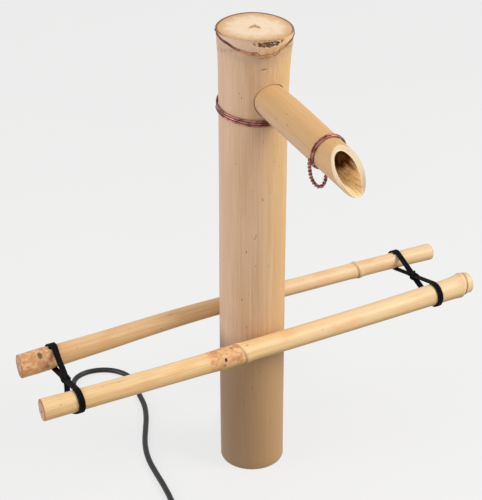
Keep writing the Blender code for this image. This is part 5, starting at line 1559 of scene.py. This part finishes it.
waxed = waxed_cord_material()
dress(left_tie, waxed, "arms", "lashing_cord", "left_tie")
dress(right_tie, waxed, "arms", "right_lashing_cord", "right_tie")
print("lashings dressed")

# %% [markdown]
# ## The copper wire
#
# Annealed copper wire is wound by hand, so its turns lie close but wander a
# little, and its colour has gone from orange to a brown plum. A helix curve is
# perfect, too perfect. A helix whose pitch and radius wander by a few tenths of
# a millimetre looks wound. The loose loop is two strands twisted together,
# which is a second, smaller helix carried along an arc.

# %% Wind the wires
WIRE_RADIUS = 0.0009
CULM_WIRE_HEIGHT = 0.3818
CULM_WIRE_TILT = np.array([0.0357, -0.1354])
SPOUT_WIRE_STATION = 0.1192


def wound_wire(base_radius, pitch, turns, start, seed, tail_out):
    """Helix: radius and height wander a little with the angle, and its start stands off."""
    a = np.linspace(0, TAU * turns, int(72 * turns) + 1)
    share = a / (TAU * turns)
    wander = 0.00028 * uneven(a, 0.0, seed, 3) * np.clip(share * 8, 0, 1)
    radius = base_radius + 0.00006 * (1 + uneven(a, 0.0, seed + 1, 5))
    radius = radius + tail_out * np.exp(-share * turns * 18)
    height = pitch * (a / TAU - turns / 2) + wander
    angle = start + a
    return np.stack([radius * np.cos(angle), radius * np.sin(angle), height], axis=1)


def spout_radius_at(station):
    """The spout's plain radius, which narrows evenly over its outer two thirds."""
    narrow = np.clip((station - 0.045) / (SPOUT_REACH - 0.045), 0, 1)
    return SPOUT_RADIUS + (SPOUT_MOUTH_RADIUS - SPOUT_RADIUS) * narrow


culm_turns = wound_wire(CULM_RADIUS + WIRE_RADIUS + 0.0003, 0.00215, 3,
                        math.radians(152), 91, 0.0006)
culm_turns[:, 2] += CULM_WIRE_HEIGHT - culm_turns[:, :2] @ CULM_WIRE_TILT
culm_turns[:, :2] += head_shift(np.array([CULM_WIRE_HEIGHT]))
culm_wire = surface("culm_wire_turns", tube_grid(culm_turns, WIRE_RADIUS, 12))
ring_radius = spout_radius_at(SPOUT_WIRE_STATION - 0.0045) + WIRE_RADIUS + 0.0001
spout_turns = wound_wire(ring_radius, 0.0023, 2, math.radians(196), 97, 0.0003)
spout_turns[:, 2] += SPOUT_WIRE_STATION + 0.0022 * np.clip(spout_turns[:, 0] / ring_radius, 0, 1)
spout_wire = surface("spout_wire_turns",
                     tube_grid(spout_to_world(spout_turns), WIRE_RADIUS, 12))
print("wire faces:", len(culm_wire.data.polygons), len(spout_wire.data.polygons))


# %% Twist the loop
LOOP_WIRE_RADIUS = 0.00088
LOOP_TWIST_RADIUS = 0.00090
LOOP_TWIST_LENGTH = 0.0072
LOOP_POINTS = ((-18.4, -2.4, 120.2), (-18.2, -6.2, 120.5), (-17.4, -11.4, 121.1),
               (-16.6, -15.4, 121.7), (-15.7, -19.3, 122.3), (-14.1, -23.0, 122.9),
               (-11.8, -26.8, 123.5), (-8.7, -30.1, 124.0), (-5.6, -31.5, 124.6),
               (-3.3, -29.9, 125.2), (-2.5, -26.2, 125.8), (-2.6, -22.2, 126.4),
               (-3.9, -18.6, 127.0))


def loop_arc():
    """The slack arc under the spout, in the spout's own directions."""
    return smooth_path(np.array(LOOP_POINTS) / 1000, LOOP_TWIST_LENGTH / 20)


def twisted_strand(arc, phase):
    """One strand: the arc plus a small circle that turns once each twist."""
    _, side, other = path_frames(arc)
    turn = phase + TAU * np.arange(len(arc)) / 20
    ends = np.clip(np.minimum(np.arange(len(arc)), np.arange(len(arc))[::-1]) / 6, 0, 1)
    reach = LOOP_TWIST_RADIUS * ends
    return arc + reach[:, None] * (np.cos(turn)[:, None] * side + np.sin(turn)[:, None] * other)


arc = spout_to_world(loop_arc())
loop = joined("twisted_loop", [
    surface(f"strand_{k}", tube_grid(twisted_strand(arc, math.pi * k), LOOP_WIRE_RADIUS, 10))
    for k in range(2)])
print("loop faces:", len(loop.data.polygons))


# %% Age the copper
def copper_material():
    """Brown copper: orange where it is rubbed, plum where it has aged."""
    material, shader, place = new_material("aged_copper")
    patina = noise(placed(place, (140, 140, 140)), 1.0, 3.0, 0.6)
    fine = noise(placed(place, (1400, 1400, 1400)), 1.0, 2.0, 0.6)
    colour = tint(band(patina, 0.38, 0.62), ink(108, 58, 50), ink(184, 126, 116))
    colour = tint(band(fine, 0.55, 0.75) * 0.4, colour, ink(206, 160, 150))
    feed(shader, Base_Color=colour, Metallic=0.66 + 0.2 * patina,
         Roughness=0.25 + 0.16 * fine, Normal=relief(fine, 0.2, 0.0002))
    return material


copper = copper_material()
dress(culm_wire, copper, "culm", "copper_wire", "culm_wire")
dress(spout_wire, copper, "culm", "copper_spout_wire", "spout_wire")
dress(loop, copper, "culm", "copper_loop_wire", "wire_loop")
print("wires dressed")

# %% [markdown]
# ## Moulded and turned parts
#
# The pump, its hose and the plug are smooth factory parts whose solids are
# already right. Their meshes come as loose triangles, so light would show each
# facet. A copy with its points merged can be shaded smooth, and a small Bevel
# gives the rounded edges that moulding leaves.

# %% Refine copies of the solids
BEVEL_STEPS = 2


def refined(node, edge=0.0, crease=32):
    """A merged copy of a solid, with rounded edges and creases in its shading."""
    source = nodes[node]
    bm = bmesh.new()
    bm.from_mesh(source.data)
    bm.transform(source.matrix_world)
    bmesh.ops.remove_doubles(bm, verts=bm.verts, dist=0.000004)
    bmesh.ops.dissolve_limit(bm, angle_limit=math.radians(1), verts=bm.verts, edges=bm.edges)
    mesh = bpy.data.meshes.new(node + "_skin")
    bm.to_mesh(mesh)
    bm.free()
    mesh.shade_smooth()
    mesh.set_sharp_from_angle(angle=math.radians(crease))
    obj = bpy.data.objects.new(node + "_skin", mesh)
    bpy.context.scene.collection.objects.link(obj)
    if edge:
        bevel = obj.modifiers.new("edges", "BEVEL")
        bevel.width = edge
        bevel.segments = BEVEL_STEPS
        bevel.limit_method = "ANGLE"
        bevel.angle_limit = math.radians(crease)
        bevel.harden_normals = True
    return obj


print("solids to refine:", len(nodes))


# %% Finish the moulded parts
def moulded_material(name, colour, rough, speckle=0.12, shine=0.5):
    """Moulded plastic: spark-eroded grain in the bump, faint mottling in the colour."""
    material, shader, place = new_material(name)
    grain = noise(placed(place, (2600, 2600, 2600)), 1.0, 2.0, 0.6)
    cloud = noise(placed(place, (90, 90, 90)), 1.0, 2.0, 0.5)
    light = tuple(min(1.0, c * (1 + speckle * 3) + speckle * 0.02) for c in colour[:3]) + (1.0,)
    shade = tint(band(grain, 0.45, 0.7) * 0.6 + cloud * 0.3, colour, light)
    feed(shader, Base_Color=shade, Roughness=rough + 0.12 * grain + 0.06 * cloud,
         Normal=relief(grain, 0.15, 0.0002), Specular_IOR_Level=shine)
    return material


def vinyl_material():
    """Clear hose: pale, slightly milky, seen through at half strength."""
    material, shader, place = new_material("clear_vinyl")
    cloud = noise(placed(place, (120, 120, 30)), 1.0, 2.0, 0.5)
    feed(shader, Base_Color=tint(cloud, ink(214, 222, 216), ink(188, 202, 196)),
         Roughness=0.16 + 0.1 * cloud, Alpha=0.52 + 0.12 * cloud, Specular_IOR_Level=0.6,
         Coat_Weight=0.3)
    return material


black_case = moulded_material("pump_case_plastic", ink(30, 30, 33), 0.42)
black_cover = moulded_material("pump_cover_grained", ink(38, 38, 41), 0.48)
grey_plastic = moulded_material("flow_slide_grey", ink(66, 66, 70), 0.42)
white_plastic = moulded_material("impeller_white", ink(224, 223, 214), 0.38, 0.02)
ceramic = moulded_material("shaft_ceramic", ink(236, 234, 226), 0.14, 0.01, 0.7)
rubber = moulded_material("bush_rubber", ink(28, 28, 28), 0.72)
soft_pvc = moulded_material("relief_pvc", ink(22, 22, 25), 0.44)
vinyl = vinyl_material()
MOULDED = (
    ("pump_housing", 0.0, black_case, "pump", "pump_housing_plastic"),
    ("outlet_nozzle", 0.00025, black_cover, "pump", "nozzle_plastic"),
    ("front_cover", 0.0, black_cover, "pump", "pump_cover_plastic"),
    ("impeller_cover", 0.0002, black_cover, "pump", "impeller_cover_plastic"),
    ("front_bush", 0.0002, rubber, "pump", "rubber_bush"),
    ("rear_bush", 0.0002, rubber, "pump", "rear_rubber_bush"),
    ("rotor_shaft", 0.00015, ceramic, "pump", "ceramic_shaft"),
    ("impeller", 0.00015, white_plastic, "impeller", "impeller_plastic"),
    ("flow_slide", 0.00015, grey_plastic, "flow_slide", "flow_slide_plastic"),
    ("cord_gland", 0.00020, soft_pvc, "pump", "gland_pvc"),
    ("riser_tube", 0.0, vinyl, "culm", "riser_vinyl"),
)
for node, edge, material, body, slot in MOULDED:
    dress(refined(node, edge), material, body, slot, node)
print("moulded parts:", len(MOULDED))

# %% [markdown]
# ## The lead's finish, strap and plug
#
# Extruded PVC is smooth along its length, with a dull shine and faint scuffs.
# The strap is a strip of woven loop fabric, closed over itself. The plug is one
# moulding with finger grips, on two bare brass blades.

# %% Finish the lead
def lead_material():
    """Black PVC: scuffs by noise in space, and draw marks along the map of the tube."""
    material, shader, place = new_material("lead_pvc")
    flat = place.node("ShaderNodeUVMap", {"uv_map": "along"})
    scuff = noise(placed(place, (260, 260, 260)), 1.0, 3.0, 0.65)
    drawn = noise(placed(flat, (30.0, 9.0, 1.0)), 1.0, 2.0, 0.5)
    colour = tint(band(scuff, 0.5, 0.75) * 0.7, ink(15, 15, 18), ink(40, 40, 45))
    feed(shader, Base_Color=colour, Roughness=0.30 + 0.2 * scuff,
         Normal=relief(drawn + scuff * 0.4, 0.15, 0.0003), Specular_IOR_Level=0.5)
    return material


dress(lead, lead_material(), "pump", "cord_pvc", "pump_cord", "cord_coil")
print("lead dressed")


# %% Close the strap round the coil
STRAP_ANGLE = math.radians(135)
STRAP_WIDTH = 0.0090
STRAP_THICKNESS = 0.0007


def strap_outline():
    """A rounded box round the coil's section, in (outwards, up)."""
    _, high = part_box("coil_tie")
    inner = COIL_RADIUS - COIL_PITCH * (COIL_LOWER_TURNS / 2 + COIL_TUCK_SHARE) - CORD_RADIUS
    inner = math.sqrt(inner ** 2 - (STRAP_WIDTH / 2) ** 2) - 0.0005
    outer = COIL_RADIUS + COIL_PITCH * COIL_LOWER_TURNS / 2 + CORD_RADIUS + 0.0005
    top = float(high[2]) - STRAP_THICKNESS
    corner = 0.0028
    base = STRAP_THICKNESS * 0.6
    arc = np.linspace(0, math.pi / 2, 7)
    points = []
    for x, z, start in ((outer - corner, top - corner, 0.0), (inner + corner, top - corner, 1.0),
                        (inner + corner, base + corner, 2.0), (outer - corner, base + corner, 3.0)):
        a = start * math.pi / 2 + arc
        points.append(np.stack([x + corner * np.cos(a), z + corner * np.sin(a)], axis=1))
    return np.vstack(points)


def strap_grid():
    """A flat band carried round the outline, with its last part lying over its first."""
    outline = strap_outline()
    loop_points = np.vstack([outline, outline[:9] + (0.0, 0.0)])
    turn = np.gradient(loop_points, axis=0)
    turn /= np.linalg.norm(turn, axis=1)[:, None]
    out = np.stack([turn[:, 1], -turn[:, 0]], axis=1)
    lift = np.linspace(0, 1, len(loop_points)) ** 6 * STRAP_THICKNESS * 1.2
    loop_points = loop_points + out * lift[:, None]
    section = np.array([(-0.5, 0.0), (-0.47, 0.85), (-0.3, 1.0), (0.3, 1.0), (0.47, 0.85),
                        (0.5, 0.0), (0.47, -0.3), (-0.47, -0.3)])
    side = section[:, 0] * STRAP_WIDTH
    rise = section[:, 1] * STRAP_THICKNESS * 0.7
    place = loop_points[:, None] + out[:, None] * rise[None, :, None]
    c, s = math.cos(STRAP_ANGLE), math.sin(STRAP_ANGLE)
    x = COIL_CENTRE[0] + place[..., 0] * c - side * s
    y = COIL_CENTRE[1] + place[..., 0] * s + side * c
    return np.stack([x, y, np.maximum(place[..., 1], 0.0001)], axis=-1)


def strap_material():
    """Loop fabric: crossed sine ribs, with fluff from fine noise."""
    material, shader, place = new_material("loop_fabric")
    x, y, _ = parts(placed(place, (1.0, 1.0, 1.0), (0.0, 0.0, -STRAP_ANGLE)))
    weave = (x * 7200.0).sum("SINE", x * 7200.0) * (y * 7200.0).sum("SINE", y * 7200.0)
    fluff = noise(placed(place, (1800, 1800, 1800)), 1.0, 3.0, 0.7)
    colour = tint(fluff, ink(20, 20, 23), ink(52, 52, 56))
    feed(shader, Base_Color=colour, Roughness=0.85 + 0.1 * fluff,
         Normal=relief(weave * 0.5 + fluff, 0.6, 0.0004), Specular_IOR_Level=0.2)
    return material


strap = surface("coil_strap", strap_grid())
dress(strap, strap_material(), "pump", "strap_fabric", "coil_tie")
print("strap faces:", len(strap.data.polygons))

# %% Finish the plug
plug_plastic = moulded_material("plug_moulding", ink(24, 24, 27), 0.42)
plug = dress(refined("plug_body", 0.00035, 30), plug_plastic, "pump", "plug_pvc", "plug_body")


def brass_material():
    """Rolled brass strip: fine lines along it and a few dull spots."""
    material, shader, place = new_material("blade_brass")
    lines = noise(placed(place, (300, 4000, 4000)), 1.0, 2.0, 0.6)
    spots = noise(placed(place, (400, 400, 400)), 1.0, 2.0, 0.5)
    colour = tint(band(spots, 0.5, 0.7) * 0.5, ink(214, 186, 120), ink(168, 134, 78))
    feed(shader, Base_Color=colour, Metallic=1.0, Roughness=0.22 + 0.16 * lines + 0.1 * spots,
         Normal=relief(lines, 0.12, 0.0002))
    return material


brass = brass_material()
blades = [dress(refined(node, 0.00015), brass, "pump", slot, node) for node, slot in
          (("plug_blade_left", "left_blade_brass"), ("plug_blade_right", "right_blade_brass"))]

# %% [markdown]
# ## Floor and light
#
# The floor is a plain pale sheet, and the world behind it is pale too. More light
# would bleach the piece as well, so both are lifted toward white only for rays
# that the camera, metal or glass sends out. One broad soft lamp from the right
# and above shapes the canes, and a cooler one from the left fills the shadows.

# %% Lay the floor
FLOOR_REACH = 12.0
FLOOR_GLOW = 0.72
WHITE = (1.0, 1.0, 1.0, 1.0)


def rays_in_view(tree):
    """One for a ray from the camera or one that metal or glass sends on, zero for light."""
    path = tree.nodes.new("ShaderNodeLightPath")
    seen = Link(tree, path.outputs["Is Camera Ray"])
    for kind in ("Is Glossy Ray", "Is Transmission Ray"):
        seen = seen.sum("MAXIMUM", seen, Link(tree, path.outputs[kind]))
    return seen


def add_floor():
    """A square sheet: rays in view find it mostly plain white, with some shadow left."""
    r = FLOOR_REACH
    mesh = bpy.data.meshes.new("floor")
    mesh.from_pydata([(-r, -r, 0), (r, -r, 0), (r, r, 0), (-r, r, 0)], [], [(0, 1, 2, 3)])
    obj = bpy.data.objects.new("floor", mesh)
    bpy.context.scene.collection.objects.link(obj)
    material, shader, place = new_material("pale_floor")
    cloud = noise(placed(place, (3, 3, 3)), 1.0, 2.0, 0.5)
    feed(shader, Base_Color=tint(cloud, ink(188, 188, 186), ink(196, 196, 195)), Roughness=0.9)
    tree = material.node_tree
    seen = rays_in_view(tree)
    white = seen.node("ShaderNodeEmission", {}, {"Color": WHITE, "Strength": 1.0})
    mixed = seen.node("ShaderNodeMixShader", {},
                      {0: seen * FLOOR_GLOW, 1: Link(tree, shader.outputs[0]), 2: white})
    tree.links.new(mixed.socket, tree.nodes["Material Output"].inputs["Surface"])
    mesh.materials.append(material)


add_floor()
print("floor (m):", 2 * FLOOR_REACH)


# %% Light the piece
AIM = Vector((0.0, 0.0, 0.22))
LIGHT_STRENGTH = 0.55
BACKDROP_STRENGTH = 0.8


def add_lamp(name, place, size, power, colour):
    """A round area lamp of that width in metres, aimed at the middle of the piece."""
    data = bpy.data.lights.new(name, "AREA")
    data.shape = "DISK"
    data.size = size
    data.energy = power
    data.color = colour
    lamp = bpy.data.objects.new(name, data)
    bpy.context.scene.collection.objects.link(lamp)
    turn = (AIM - Vector(place)).to_track_quat("-Z", "Y").to_matrix().to_4x4()
    lamp.matrix_world = Matrix.Translation(place) @ turn


def add_world():
    """An even white world: one strength as light and a higher one for rays in view."""
    world = bpy.data.worlds.new("studio")
    world.use_nodes = True
    tree = world.node_tree
    seen = rays_in_view(tree)
    skies = [seen.node("ShaderNodeBackground", {},
                       {"Color": WHITE, "Strength": power})
             for power in (LIGHT_STRENGTH, BACKDROP_STRENGTH)]
    mixed = seen.node("ShaderNodeMixShader", {}, {0: seen, 1: skies[0], 2: skies[1]})
    tree.links.new(mixed.socket, tree.nodes["World Output"].inputs["Surface"])
    bpy.context.scene.world = world


add_lamp("key", (1.15, -1.05, 1.5), 1.0, 27.0, (1.0, 0.97, 0.93))
add_lamp("fill", (-1.6, 0.2, 0.9), 1.4, 14.0, (0.98, 0.98, 1.0))
add_world()
bpy.context.scene.view_settings.view_transform = "Standard"
